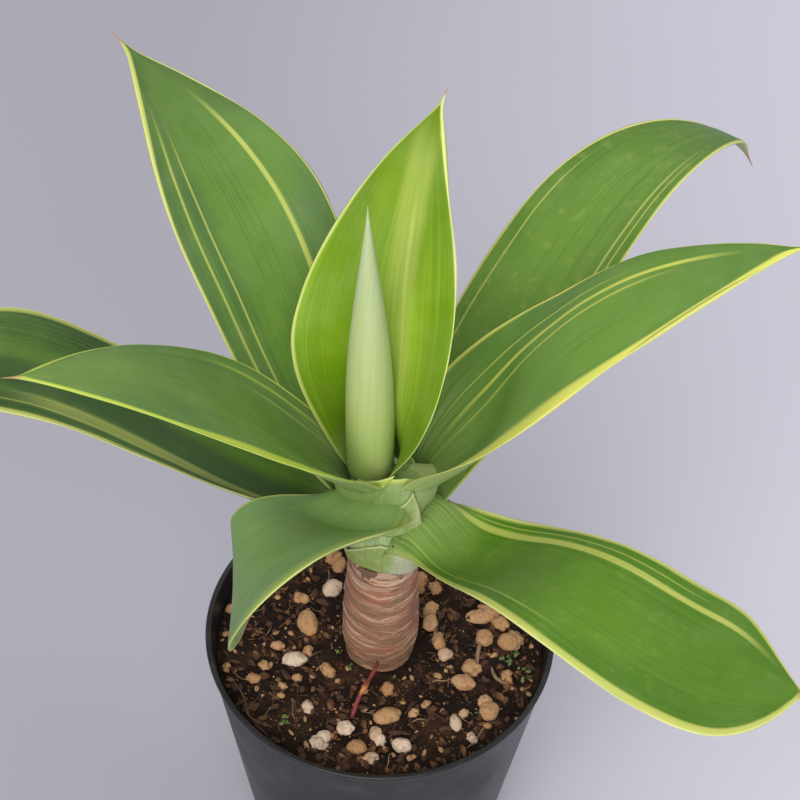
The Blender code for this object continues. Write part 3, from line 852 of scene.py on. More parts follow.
class AGAVE_OT_stones(bpy.types.Operator):
    """Roughen each of the larger stones"""

    bl_idname = "agave.stones"
    bl_label = "Stones"

    def execute(self, context):
        stones = context.scene.agave_stones
        rust = shade(stones.tan, 0.95, 0.72, 0.5)
        brown = shade(stones.tan, 0.45, 0.36, 0.3)
        finish = pebble_stone((brown, stones.tan, stones.pale, rust))
        finish.name = "large_stone"
        for k, node in enumerate(PEBBLES):
            bm = refined(merged_copy(node), 2)
            bm.normal_update()
            pale = node in PALE_PEBBLES
            layer = bm.verts.layers.float.new("tone")
            tone = 0.86 + 0.14 * math.sin(k * 2.3) if pale else 0.5 + 0.13 * math.sin(k * 1.9)
            shifts = []
            for v in bm.verts:
                rough = bumpy(v.co, 700.0, k) + 0.6 * bumpy(v.co, 1800.0, k)
                shifts.append((v, v.normal * stones.roughening * rough))
                v[layer] = tone
            for v, shift in shifts:
                v.co += shift
            add_piece(node.replace("pebble", "stone"), bm, finish, (node,))
        return {"FINISHED"}


# ---------------------------------------------------------------- stem


def scar_profile(stem, turn, z):
    """How far the bark stands out at a bearing and a height: leaf scars with raised dry edges."""
    height = (STEM_TOP - z) / stem.pitch
    around = Vector((math.cos(turn) * 1.1, math.sin(turn) * 1.1, height * 0.35))
    height += 0.55 * noise.noise(around)
    first = math.floor(height)
    best = 0.0
    for n in range(first - 1, first + 2):
        uneven = 0.30 * math.sin(n * 2.9)
        meeting = math.radians((-88 if n % 3 else -60) + 9 * math.sin(n * 4.1))
        front = abs(math.atan2(math.sin(turn - meeting), math.cos(turn - meeting)))
        back = math.pi - front
        dip = 0.75 * math.exp(-front / 0.55) + 0.6 * math.exp(-back / 0.5)
        off = height - (n + 0.4 + uneven + dip)
        strength = 0.62 + 0.9 * noise.noise(Vector((turn * 0.9, n * 1.7, 4.0)))
        edge = strength * math.exp(-((off / 0.09) ** 2))
        below = strength * 0.50 * math.exp(-off / 0.4) if off > 0 else 0.0
        best = max(best, edge, below)
    return min(1.0, best)


# Each sheath: rows from left to right, with the bearing, height and radius of its lower
# edge and of its upper one (degrees and mm), then its colours on the left and the right,
# the stretch along X in mm where they change, its margin's colour and its width in mm.
SHEATHS = {
    "sheath_low": (
        (
            (-172, 114.0, 8.9, -172, 116.8, 9.4), (-152, 115.0, 9.0, -152, 119.2, 9.9),
            (-132, 116.6, 9.2, -132, 123.6, 10.4), (-112, 117.2, 9.3, -111, 127.8, 10.9),
            (-93, 116.9, 9.3, -93, 129.6, 11.1), (-79, 116.2, 9.3, -79, 128.6, 11.1),
            (-61, 114.8, 9.2, -61, 125.4, 10.9), (-43, 113.3, 9.2, -43, 121.8, 10.3),
            (-18, 111.5, 9.1, -18, 119.0, 9.5), (8, 112.0, 9.1, 8, 119.0, 9.4),
            (38, 115.0, 9.0, 38, 118.0, 9.3),
        ),
        (0.25, 0.34, 0.09), (0.47, 0.50, 0.33), (0.0, 4.0), (0.46, 0.52, 0.24),
        0.7,
    ),
    "sheath_left": (
        (
            (-222, 138.0, 11.2, -222, 140.5, 11.4), (-200, 139.0, 11.5, -195, 141.6, 12.0),
            (-175, 140.0, 11.8, -170, 143.6, 12.3), (-152, 141.0, 12.0, -146, 148.6, 12.5),
            (-132, 142.0, 12.1, -122, 153.2, 12.5), (-118, 143.0, 12.0, -100, 155.0, 12.2),
            (-110, 144.5, 11.9, -80, 156.8, 11.7),
        ),
        (0.24, 0.34, 0.10), (0.27, 0.38, 0.13), (0.0, 4.0), (0.42, 0.51, 0.09),
        2.0,
    ),
    "sheath_right": (
        (
            (-132, 142.0, 11.5, -108, 152.4, 11.6), (-104, 142.0, 11.6, -86, 155.4, 11.5),
            (-78, 142.0, 11.7, -66, 155.0, 11.8), (-48, 141.0, 11.9, -45, 152.6, 12.4),
            (-20, 140.0, 12.0, -17, 146.6, 12.8), (12, 138.0, 11.7, 14, 142.4, 12.2),
            (48, 136.0, 11.1, 50, 140.0, 11.5),
        ),
        (0.27, 0.38, 0.13), (0.33, 0.43, 0.18), (0.0, 6.0), (0.44, 0.53, 0.13),
        1.3,
    ),
    # painted shade: this sheath's dark green left side and its dulled margin colour stand for the
    # shadow on its left slope
    "sheath_front": (
        (
            (-92, 135.0, 12.0, -92, 145.6, 12.2), (-80, 134.6, 12.2, -82, 145.4, 12.4),
            (-68, 134.9, 12.5, -74, 145.9, 12.6), (-57, 135.6, 12.7, -66, 147.4, 12.8),
            (-50, 136.2, 12.8, -61, 149.4, 12.9), (-46, 136.6, 12.9, -59, 150.4, 12.9),
        ),
        (0.27, 0.38, 0.12), (0.55, 0.56, 0.28), (5.5, 8.5), (0.38, 0.47, 0.18),
        0.5,
    ),
    "sheath_throat": (
        (
            (-78, 148.6, 3.0, -78, 154.2, 11.1), (-60, 149.0, 3.0, -60, 153.2, 11.4),
            (-40, 149.2, 3.0, -40, 150.6, 12.1), (-15, 148.6, 3.0, -15, 147.6, 13.3),
            (6, 147.0, 3.0, 6, 145.6, 13.2),
        ),
        (0.27, 0.38, 0.11), (0.31, 0.42, 0.14), (2.0, 8.0), (0.29, 0.40, 0.12),
        0.5,
    ),
}


class AGAVE_OT_stem(bpy.types.Operator):
    """Turn the bare stem, carve its leaf scars and add leaf bases and sheaths at its top"""

    bl_idname = "agave.stem"
    bl_label = "Stem"

    def execute(self, context):
        stem = context.scene.agave_stem
        low = STEM_LOW.z
        top_radius = 8.5 * MM
        shoulder = 1.2 * MM
        profile = [(0.0, STEM_TOP + shoulder), (0.9 * top_radius, STEM_TOP + shoulder)]
        rows = 170
        for k in range(rows + 1):
            share = k / rows
            z = STEM_TOP - share * (STEM_TOP - SOIL_LEVEL + 2 * MM)
            radius = top_radius + 1.3 * MM * smooth_step(share / 0.6)
            radius -= 0.9 * MM * smooth_step((share - 0.78) / 0.22)
            profile.append((radius - 0.2 * MM, z))
        profile += [(0.7 * STEM_RADIUS, low), (0.0, low)]
        bm = spun(profile, STEM_STEPS)
        layer = bm.verts.layers.float.new("scar")
        for v in bm.verts:
            reach = math.hypot(v.co.x, v.co.y)
            if reach < 0.8 * top_radius or v.co.z < SOIL_LEVEL - 3 * MM:
                continue
            turn = math.atan2(v.co.y, v.co.x)
            out = scar_profile(stem, turn, v.co.z)
            flaky = 0.25 * bumpy(v.co, 600.0) + 0.35 * bumpy(v.co, 180.0)
            grow = 1.0 + (stem.depth * (out - 0.35) + flaky * 0.5 * MM) / reach
            v.co.x *= grow
            v.co.y *= grow
            v[layer] = out
        add_piece("bare_stem", bm, self.bark(stem), ("stem",))
        self.leaf_bases(context)
        self.sheaths(context)
        self.scales()
        return {"FINISHED"}

    def bark(self, stem):
        made, net = new_material("stem_bark", Roughness=0.85, Specular_IOR_Level=0.25)
        place = net.place()
        cloud, patch, grit = net.group("mottle", Vector=place, Scale=170.0)[:3]
        pink = shade(stem.bark, 1.02, 0.74, 0.72)
        grey = shade(stem.bark, 0.75, 0.92, 1.0)
        flat = net.fitted(place, scale=(0.16, 0.16, 1.6))
        rings = net.noise(flat, 620.0, 3.0, 0.65)
        colour = net.over(stem.bark, pink, cloud, 0.40, 0.62)
        colour = net.over(colour, grey, patch, 0.56, 0.74, 0.0, 0.7)
        brown = shade(stem.bark, 0.50, 0.38, 0.34)
        colour = net.over(colour, brown, rings, 0.34, 0.48, 0.75, 0.0)
        colour = net.over(colour, stem.ridge, rings, 0.55, 0.70, 0.0, 0.70)
        scar = net.attribute("scar")
        # painted shade: the bark is darkened where the scars sink in, as shade in the hollows
        dark = shade(stem.bark, 0.42)
        painted_hollow_shade = net.plus(scar, net.times(net.minus(grit, 0.5), 0.25))
        colour = net.over(colour, dark, painted_hollow_shade, 0.02, 0.22, 0.65, 0.0)
        # the raised scar edges are painted pale: partly the dry ridges' own colour, partly a painted
        # highlight
        ridge_and_highlight = net.plus(scar, net.times(net.minus(patch, 0.5), 0.7))
        colour = net.over(colour, stem.ridge, ridge_and_highlight, 0.55, 0.92, 0.0, 0.85)
        z = net.part("Z", place)
        papery = net.between(z, STEM_TOP - 13 * MM, STEM_TOP - 4 * MM, 0.0, 0.60)
        papery = net.times(papery, net.between(rings, 0.38, 0.55))
        colour = net.mix(papery, colour, stem.ridge)
        damp = net.between(z, SOIL_LEVEL + 1 * MM, SOIL_LEVEL + 13 * MM, 0.75, 0.0)
        damp = net.times(damp, net.between(patch, 0.36, 0.60))
        colour = net.mix(damp, colour, stem.moss)
        net.paint(Base_Color=colour)
        relief = net.plus(net.plus(patch, rings), net.times(grit, 0.6))
        net.paint(Normal=net.bump(relief, 0.8, 0.0005))
        return made

    def leaf_bases(self, context):
        """The wrapped leaf bases round the stem's core, between the open leaves."""
        leaf = context.scene.agave_leaf
        top, waist, low = 140.6, 10.8, 116.8  # height, widest radius and lower end in mm
        profile = [(0.0, top), (7.6, top), (9.4, top - 0.4), (10.4, top - 1.2)]
        profile += [(waist, z) for z in (138.6, 137.6, 136.0, 134.0, 131.0)]
        profile += [(10.6, 128.0), (10.3, 125.0), (9.8, 122.0), (9.2, 119.5), (8.6, 117.8)]
        profile += [(7.6, low), (0.0, low)]
        bm = spun([(r * MM, z * MM) for r, z in profile], BASE_STEPS)
        made, net = new_material("leaf_base", Roughness=0.5)
        lines = net.noise(net.fitted(net.place(), scale=(1.0, 1.0, 0.12)), 900.0)
        colour = net.over(leaf.foot, leaf.underside, lines, 0.35, 0.65)
        net.paint(Base_Color=colour, Normal=net.bump(lines, 0.3, 0.0002))
        add_piece("leaf_bases", bm, made)

    def sheaths(self, context):
        """The lowest leaves' bases that wrap the stem, each over the next."""
        for k, (name, (rows, *look)) in enumerate(SHEATHS.items()):
            bm = bmesh.new()
            layers = {field: bm.verts.layers.float.new(field) for field in ("rise", "off_edge")}
            bmesh.ops.create_grid(bm, x_segments=110, y_segments=18, size=0.5)
            table = [(i / (len(rows) - 1), *row) for i, row in enumerate(rows)]
            for v in bm.verts:
                u, t = v.co.x + 0.5, v.co.y + 0.5
                low_turn, low_z, low_r, high_turn, high_z, high_r = (
                    along_table([(row[0], row[i]) for row in table], u) for i in range(1, 7)
                )
                turn = math.radians(low_turn + (high_turn - low_turn) * t)
                z = low_z + (high_z - low_z) * t
                swell = 0.25 * math.sin(math.pi * t) + 0.12 * bumpy((u * 5, t * 2, k), 1.0)
                reach = low_r + (high_r - low_r) * t + swell
                v.co = Vector((reach * math.cos(turn), reach * math.sin(turn), z)) * MM
                v[layers["rise"]] = t
                v[layers["off_edge"]] = (high_z - z) * MM
            bmesh.ops.recalc_face_normals(bm, faces=bm.faces)
            finish = self.sheath_skin(name, *look)
            piece = add_piece(name, bm, finish)
            thicken(piece, SHEATH_WALL)

    def sheath_skin(self, name, left, right, change, edge, band):
        made, net = new_material(name + "_skin", Specular_IOR_Level=0.22, Roughness=0.5)
        place = net.place()
        around, up = net.times(net.bearing(place), 26.0), net.times(net.part("Z", place), 60.0)
        fine = net.noise(net.vector(around, up, 0.0), 1.6, 3.0, 0.6)
        cloud, patch = net.group("mottle", Vector=place, Scale=110.0)[:2]
        aside = net.plus(net.part("X", place), net.times(net.minus(cloud, 0.5), 4 * MM))
        colour = net.over(left, right, aside, change[0] * MM, change[1] * MM)
        paler = tuple(min(1.0, c * 1.25 + 0.03) for c in right)
        darker = shade(left, 0.70)
        colour = net.over(colour, paler, patch, 0.45, 0.75, 0.0, 0.25)
        colour = net.over(colour, darker, fine, 0.30, 0.50, 0.5, 0.0)
        colour = net.over(colour, (0.50, 0.56, 0.40), fine, 0.55, 0.75, 0.0, 0.4)
        off = net.attribute("off_edge")
        margin = net.between(off, 0.7 * band * MM, 1.2 * band * MM, 1.0, 0.0)
        colour = net.mix(margin, colour, edge)
        line = net.between(off, 0.12 * MM, 0.40 * MM, 0.55, 0.0)
        colour = net.mix(line, colour, (0.55, 0.60, 0.27))
        net.paint(Base_Color=colour, Normal=net.bump(fine, 0.3, 0.0002))
        return made

    def scales(self):
        """Dry papery remains of old leaves just under the lowest green ones."""
        bm = bmesh.new()
        layer = bm.verts.layers.float.new("tone")
        generator = random.Random(3)
        for k in range(9):
            bearing = math.radians(-150 + 44 * k + generator.uniform(-9, 9))
            top = STEM_TOP + generator.uniform(-1.5, 0.5) * MM
            tall = generator.uniform(1.4, 3.6) * MM
            wide = generator.uniform(0.20, 0.60)
            sheet = bmesh.ops.create_grid(bm, x_segments=12, y_segments=7, size=0.5)["verts"]
            tone = generator.random()
            for v in sheet:
                u, t = v.co.x, v.co.y + 0.5
                ragged = 0.9 * noise.noise(Vector((u * 7, k * 3.1, 0)))
                turn = bearing + u * 2 * wide * (1 - 0.25 * t)
                reach = 8.8 * MM + (0.2 + 0.7 * (1 - t) ** 2 * tone) * MM
                reach += 0.22 * MM * noise.noise(Vector((u * 3, t * 3, k)))
                z = top - tall * (1 - t) * (1 + ragged) * (1 - 3.4 * u * u)
                v.co = (reach * math.cos(turn), reach * math.sin(turn), z)
                v[layer] = tone
        bmesh.ops.recalc_face_normals(bm, faces=bm.faces)
        made, net = new_material("dry_scale", Roughness=0.8)
        patch = net.group("mottle", Vector=net.place(), Scale=260.0)["Patch"]
        colour = net.mix(net.attribute("tone"), (0.07, 0.035, 0.02), (0.40, 0.25, 0.15))
        colour = net.over(colour, (0.16, 0.085, 0.05), patch, 0.45, 0.60, 0.0, 0.9)
        net.paint(Base_Color=colour, Normal=net.bump(patch, 0.5, 0.0003))
        piece = add_piece("dry_scales", bm, made)
        thicken(piece, SCALE_WALL)


# ---------------------------------------------------------------- leaves


@dataclass
class LeafFinish:
    """Colours and stripes of one leaf.

    A stripe is (place across, width in mm, start, end, strength). Places across run from
    -1 to 1, where 1 is the margin on the left of someone who looks from the foot to the tip.
    A stripe is yellow, or dark where its strength is below 0.
    """

    dark: tuple
    light: tuple
    yellow: tuple
    margins: tuple  # widths of the yellow margins in mm, at -1 and at 1
    stripes: tuple = ()
    bloom: float = 0.2  # strength of the waxy grey patches
    mottled: float = 0.0  # strength of the small yellow spots
    tip: float = 4.0  # length of the dried tip in mm
    pale_line: float = 0.35  # width of the pale edge line in mm
    scarred: float = 0.0  # strength of the small brown nicks
    pale_base: float = 0.16  # share of the length that is pale at the base, stretched on some leaves as painted light
    narrowing: float = 0.0  # how much the margins narrow towards the tip
    dark_end: float = 0.0  # how much the blade darkens towards the tip
    pale_corner: tuple = ()  # middle and radius of a cream corner, in mm


YELLOW = (0.46, 0.50, 0.11)
LIME = (0.40, 0.50, 0.06)
FINISHES = {
    "leaf_1_right_low": LeafFinish(
        dark=(0.070, 0.175, 0.009),
        light=(0.112, 0.232, 0.016),
        yellow=YELLOW,
        margins=(1.7, 1.0),
        stripes=(
            (0.70, 1.7, 0.05, 0.95, 0.85), (-0.74, 0.5, 0.0, 0.75, -0.9),
            (-0.84, 0.6, 0.0, 0.8, -0.7), (-0.68, 0.7, 0.0, 0.6, 0.5), (0.84, 0.4, 0.1, 0.8, 0.5),
        ),
        pale_base=0.24,
        bloom=0.04,
        mottled=0.2,
        dark_end=0.3,
        tip=2.5,
        pale_line=0.6,
        scarred=1.0,
    ),
    "leaf_2_far_left": LeafFinish(
        dark=(0.026, 0.066, 0.011),
        light=(0.080, 0.165, 0.018),
        yellow=(0.38, 0.41, 0.10),
        margins=(1.2, 0.9),
        stripes=(
            (0.26, 11.5, -0.2, 0.95, -0.90), (0.70, 4.2, -0.1, 0.72, 0.46),
            (0.64, 0.5, 0.0, 0.70, 0.35), (0.88, 0.7, 0.0, 0.90, -0.85),
            (0.80, 0.5, 0.3, 1.0, 0.45),
        ),
        bloom=0.04,
    ),
    "leaf_3_back_right": LeafFinish(
        dark=(0.088, 0.186, 0.024),
        light=(0.138, 0.262, 0.038),
        yellow=YELLOW,
        margins=(0.8, 0.8),
        stripes=(
            (0.78, 0.5, 0.0, 0.7, 0.7), (-0.72, 0.6, 0.1, 0.8, 0.8), (-0.84, 0.5, 0.1, 0.8, 0.8),
        ),
        bloom=0.05,
        mottled=0.35,
        tip=7.0,
        dark_end=0.25,
    ),
    "leaf_4_front": LeafFinish(
        dark=(0.150, 0.262, 0.082),
        light=(0.190, 0.318, 0.086),
        yellow=(0.38, 0.45, 0.09),
        margins=(1.0, 1.0),
        stripes=((0.45, 0.6, 0.0, 0.4, 0.3), (0.90, 3.6, -0.1, 0.75, 0.35)),
        bloom=0.08,
        tip=6.0,
        dark_end=0.5,
        pale_corner=(6.6, -9.0, 137.8, 5.0),
    ),
    "leaf_5_back_left": LeafFinish(
        dark=(0.078, 0.150, 0.042),
        light=(0.108, 0.215, 0.030),
        yellow=YELLOW,
        margins=(0.45, 0.9),
        stripes=(
            (-0.51, 1.3, 0.0, 0.84, 0.80), (0.54, 0.55, 0.20, 0.80, 0.65),
            (0.74, 0.65, 0.10, 0.84, 0.65),
        ),
        bloom=0.05,
        mottled=0.1,
        pale_base=0.08,
        dark_end=0.4,
        tip=5.0,
    ),
    "leaf_6_right_high": LeafFinish(
        dark=(0.098, 0.205, 0.036),
        light=(0.140, 0.275, 0.036),
        yellow=(0.54, 0.56, 0.10),
        margins=(4.0, 0.7),
        # painted light: the pale base reaches further up than the leaf's own colour, to lighten its
        # shaded base
        pale_base=0.36,
        narrowing=0.62,
        dark_end=0.8,
        stripes=(
            (0.34, 0.6, 0.1, 0.8, 0.7), (0.50, 0.9, 0.1, 0.9, 0.85), (0.68, 0.5, 0.1, 0.7, 0.6),
        ),
        bloom=0.06,
        tip=2.0,
    ),
    "leaf_7_left": LeafFinish(
        dark=(0.092, 0.180, 0.042),
        light=(0.130, 0.232, 0.044),
        yellow=LIME,
        margins=(0.6, 3.0),
        stripes=((-0.82, 0.8, 0.05, 0.55, 0.55), (-0.64, 0.7, 0.0, 0.45, 0.45)),
        bloom=0.08,
        tip=4.0,
        scarred=0.5,
        # painted light: the pale base reaches further up than the leaf's own colour, to lighten its
        # shaded base
        pale_base=0.30,
        narrowing=0.70,
    ),
    "leaf_8_back": LeafFinish(
        dark=(0.135, 0.255, 0.004),
        light=(0.240, 0.385, 0.020),
        yellow=(0.48, 0.56, 0.12),
        margins=(0.4, 0.7),
        stripes=(
            (-0.18, 8.0, 0.12, 0.95, 0.42), (-0.24, 1.1, 0.10, 0.80, 0.50),
            (0.45, 7.0, -0.1, 0.62, -0.60), (-0.66, 5.0, -0.1, 0.60, -0.45),
        ),
        bloom=0.06,
        tip=2.0,
        pale_line=0.3,
        dark_end=0.75,
    ),
}
# How a leaf's base is raised to meet the sheaths: full rise inside the first reach, none
# beyond the second, whether the margins rise too, and the least height of the upper side
# at bearings in degrees. Lengths are in mm.
THROATS = {
    "leaf_4_front": (
        13.0,
        28.0,
        False,
        (
            (-190, 140.0), (-172, 142.0), (-150, 143.5), (-112, 146.5), (-77, 147.0),
            (-60, 147.8), (-53, 146.5), (-44, 136.5), (-36, 134.0),
        ),
    ),
    "leaf_1_right_low": (
        13.0,
        28.0,
        False,
        (
            (-110, 126.0), (-95, 128.5), (-75, 134.0), (-61, 136.5), (-41, 137.0), (-20, 137.0),
            (10, 136.0), (24, 131.0),
        ),
    ),
    "leaf_7_left": (
        12.6,
        17.0,
        True,
        (
            (-178, 138.0), (-150, 146.5), (-135, 150.0), (-122, 152.2), (-100, 153.8),
            (-82, 154.6), (-66, 150.0), (-50, 143.0),
        ),
    ),
    "leaf_6_right_high": (
        12.6,
        17.0,
        True,
        (
            (-100, 143.0), (-84, 148.0), (-66, 153.2), (-49, 152.0), (-30, 149.6), (-17, 147.2),
            (0, 143.0), (20, 138.0),
        ),
    ),
}


def neighbours(v):
    return [e.other_vert(v) for e in v.link_edges]


def middle(points):
    return sum((v.co for v in points), Vector()) / len(points)


def ring_in_order(ring, ahead):
    """The ring's points one after another, turning anticlockwise about the way ahead."""
    inside = set(ring)
    walk = [ring[0]]
    while len(walk) < len(ring):
        walk.append(next(n for n in neighbours(walk[-1]) if n in inside and n not in walk))
    centre = middle(walk)
    area = sum(
        ((a.co - centre).cross(b.co - centre) for a, b in zip(walk, walk[1:] + walk[:1])), Vector()
    )
    return walk if area.dot(ahead) > 0 else walk[::-1]


def leaf_rings(bm):
    """The leaf's foot, its rings from foot to tip and its tip.

    Each ring starts on the left margin and goes over the upper side to the right one.
    """
    poles = [v for v in bm.verts if len(v.link_edges) == LEAF_AROUND]
    heart = Vector((0.0, 0.0, STEM_TOP + 12 * MM))
    foot, tip = sorted(poles, key=lambda v: (v.co - heart).length)
    rings = []
    seen = {foot}
    ring = [foot]
    while True:
        ring = list({n for v in ring for n in neighbours(v)} - seen)
        if ring == [tip]:
            break
        seen.update(ring)
        rings.append(ring)
    centres = [middle(r) for r in rings] + [tip.co.copy()]
    rings = [
        ring_in_order(r, ahead - here) for r, here, ahead in zip(rings, centres, centres[1:])
    ]
    for k in range(1, len(rings)):
        before, ring = rings[k - 1], rings[k]
        starts = [ring.index(n) for n in neighbours(before[0]) if n in ring]

        def stretch(start):
            return sum(
                (a.co - b.co).length for a, b in zip(before, ring[start:] + ring[:start])
            )

        start = min(starts, key=stretch)
        rings[k] = ring[start:] + ring[:start]
    half = LEAF_AROUND // 2
    waist = rings[len(rings) // 2]
    first = max(range(half), key=lambda i: (waist[i].co - waist[i + half].co).length)
    heading = tip.co - foot.co
    left = Vector((-heading.y, heading.x, 0.0))
    if (waist[first].co - waist[first + half].co).dot(left) < 0:
        first += half
    return foot, [r[first:] + r[:first] for r in rings], tip


def mark_leaf(bm, foot, rings, tip):
    """Stores each point's place on the leaf: across, along, half of the width there and the side."""
    layers = {name: bm.verts.layers.float[name] for name in LEAF_FIELDS}
    centres = [foot.co, *(middle(r) for r in rings), tip.co]
    steps = [(b - a).length for a, b in zip(centres, centres[1:])]
    length = sum(steps)
    half = LEAF_AROUND // 2
    for k, ring in enumerate(rings):
        closed = ring + ring[:1]
        for side, arc in ((1.0, closed[: half + 1]), (-1.0, closed[half:][::-1])):
            walked = [0.0]
            for a, b in zip(arc, arc[1:]):
                walked.append(walked[-1] + (b.co - a.co).length)
            for i, (v, at) in enumerate(zip(arc, walked)):
                v[layers["across"]] = 1 - 2 * at / walked[-1]
                v[layers["half_width"]] = walked[-1] / 2
                v[layers["along"]] = sum(steps[: k + 1]) / length
                v[layers["upper"]] = 0.0 if i in (0, half) else side
    tip[layers["along"]] = 1.0
    tip[layers["half_width"]] = rings[-1][0][layers["half_width"]]
    foot[layers["half_width"]] = rings[0][0][layers["half_width"]]
    return length


def quads_only(bm, rings):
    """Takes out the edges that cut each four-sided face of the net in two, and creases the margins."""
    place = {v: (k, i) for k, ring in enumerate(rings) for i, v in enumerate(ring)}
    crease = bm.edges.layers.float["crease_edge"]
    slanted = []
    for e in bm.edges:
        a, b = (place.get(v) for v in e.verts)
        if a is None or b is None or a[0] == b[0]:
            continue
        if a[1] != b[1]:
            slanted.append(e)
        elif a[1] in (0, LEAF_AROUND // 2):
            e[crease] = 0.85
    bmesh.ops.dissolve_edges(bm, edges=slanted, use_verts=False)


def leaf_green(name, leaf, finish, length, seed):
    """The waxy skin of one leaf with its stripes, margins, dried tip and pale base."""
    made, net = new_material(name + "_skin", Specular_IOR_Level=0.22)
    place = net.place()
    across = net.attribute("across")
    along = net.attribute("along")
    half = net.attribute("half_width")
    upper = net.attribute("upper")
    fine, broad = net.group("leaf_grain", Across=across, Along=along, Lines=46.0, Seed=seed)[:2]
    cloud, patch, grit = net.group("mottle", Vector=place, Scale=26.0)[:3]

    centred = net.between(net.maths("ABSOLUTE", across), 0.2, 0.95, 0.14, -0.10)
    tint = net.plus(cloud, centred)
    colour = net.over(finish.dark, finish.light, tint, 0.34, 0.68)
    streak = net.between(broad, 0.46, 0.72, 0.0, 0.55)
    colour = net.mix(streak, colour, finish.light)
    deep = shade(finish.dark, 0.72)
    colour = net.over(colour, deep, fine, 0.30, 0.48, 0.50, 0.0)
    paler = tuple(0.75 * c + 0.25 * y for c, y in zip(finish.light, finish.yellow))
    colour = net.over(colour, paler, fine, 0.58, 0.76, 0.0, 0.40)
    if finish.mottled:
        spots = net.noise(place, 330.0, 3.0, 0.6)
        spotted = net.between(spots, 0.54, 0.72, 0.0, 0.45 * finish.mottled)
        colour = net.mix(spotted, colour, finish.yellow)
    colour = net.over(colour, deep, along, 0.50, 0.95, 0.0, finish.dark_end)

    wander = net.noise(net.vector(net.times(along, 2.0), seed, 0.0), 1.0, 2.0)
    for spot, width, start, end, strength in finish.stripes:
        mask = net.group(
            "leaf_stripe",
            Across=across,
            Along=along,
            Half_Width=half,
            Wander=wander,
            Place=spot,
            Width=width * MM,
            Start=start,
            End=end,
            Strength=abs(strength),
        )["Mask"]
        mask = net.times(mask, net.between(fine, 0.25, 0.5, 0.6, 1.0))
        colour = net.mix(mask, colour, finish.yellow if strength > 0 else finish.dark)

    inward = net.minus(1.0, net.maths("ABSOLUTE", across))
    off_edge = net.times(inward, half)
    right, left = finish.margins
    width = net.between(across, -0.2, 0.2, right * MM, left * MM)
    width = net.times(width, net.between(wander, 0.3, 0.7, 0.75, 1.25))
    narrower = net.between(along, 0.40, 0.72, 1.0, 1.0 - finish.narrowing)
    width = net.times(width, narrower)
    margin = net.between(off_edge, net.times(width, 0.6), net.times(width, 1.25), 1.0, 0.0)
    margin = net.times(margin, net.between(fine, 0.15, 0.45, 0.65, 1.0))
    colour = net.mix(margin, colour, finish.yellow)
    cream = tuple(min(1.0, c * f) for c, f in zip(finish.yellow, (1.35, 1.25, 2.3)))
    line = net.between(off_edge, 0.5 * finish.pale_line * MM, finish.pale_line * MM, 1.0, 0.0)
    line = net.times(line, net.times(narrower, 0.8))
    colour = net.mix(line, colour, cream)

    bloomy = net.times(net.between(patch, 0.40, 0.70), finish.bloom)
    bloomy = net.times(bloomy, net.between(along, 0.05, 0.35, 0.5, 1.0))
    colour = net.mix(bloomy, colour, (0.40, 0.52, 0.24))

    back = net.between(upper, -0.7, 0.1, 0.78, 0.0)
    veined = net.over(leaf.foot, leaf.underside, fine, 0.35, 0.65)
    colour = net.mix(back, colour, veined)
    # the leaf's own pale base; on leaf_6 and leaf_7 it is stretched further as painted light
    base = net.between(along, 0.02, finish.pale_base, 0.85, 0.0)
    colour = net.mix(base, colour, net.over(leaf.foot, finish.light, fine, 0.3, 0.7))

    if finish.pale_corner:
        *corner, reach = (n * MM for n in finish.pale_corner)
        far = net.node("ShaderNodeVectorMath", {0: place, 1: corner}, operation="DISTANCE")
        pale = net.between(far.outputs["Value"], 0.35 * reach, reach, 0.85, 0.0)
        colour = net.mix(pale, colour, (0.62, 0.62, 0.34))
    if finish.scarred:
        nicks = net.group("speckle", Vector=place, Scale=420.0, Share=0.035, Size=0.22)["Mask"]
        colour = net.mix(net.times(nicks, finish.scarred), colour, (0.10, 0.055, 0.02))
    left_over = net.times(net.minus(1.0, along), length)
    ragged = net.times(net.minus(patch, 0.5), 3.0 * MM)
    dry = net.between(
        net.plus(left_over, ragged), 0.75 * finish.tip * MM, 1.5 * finish.tip * MM, 1.0, 0.0
    )
    colour = net.mix(dry, colour, leaf.dry)

    net.paint(Base_Color=colour)
    rough = net.between(patch, 0.3, 0.7, 0.36, 0.52)
    net.paint(Roughness=net.plus(rough, net.times(dry, 0.3)))
    relief = net.plus(net.times(fine, 0.8), net.times(grit, 0.15))
    soft = net.bump(net.noise(place, 160.0, 2.0), 0.15, 0.0012)
    net.paint(Normal=net.bump(relief, 0.28, 0.00035, soft))
    return made


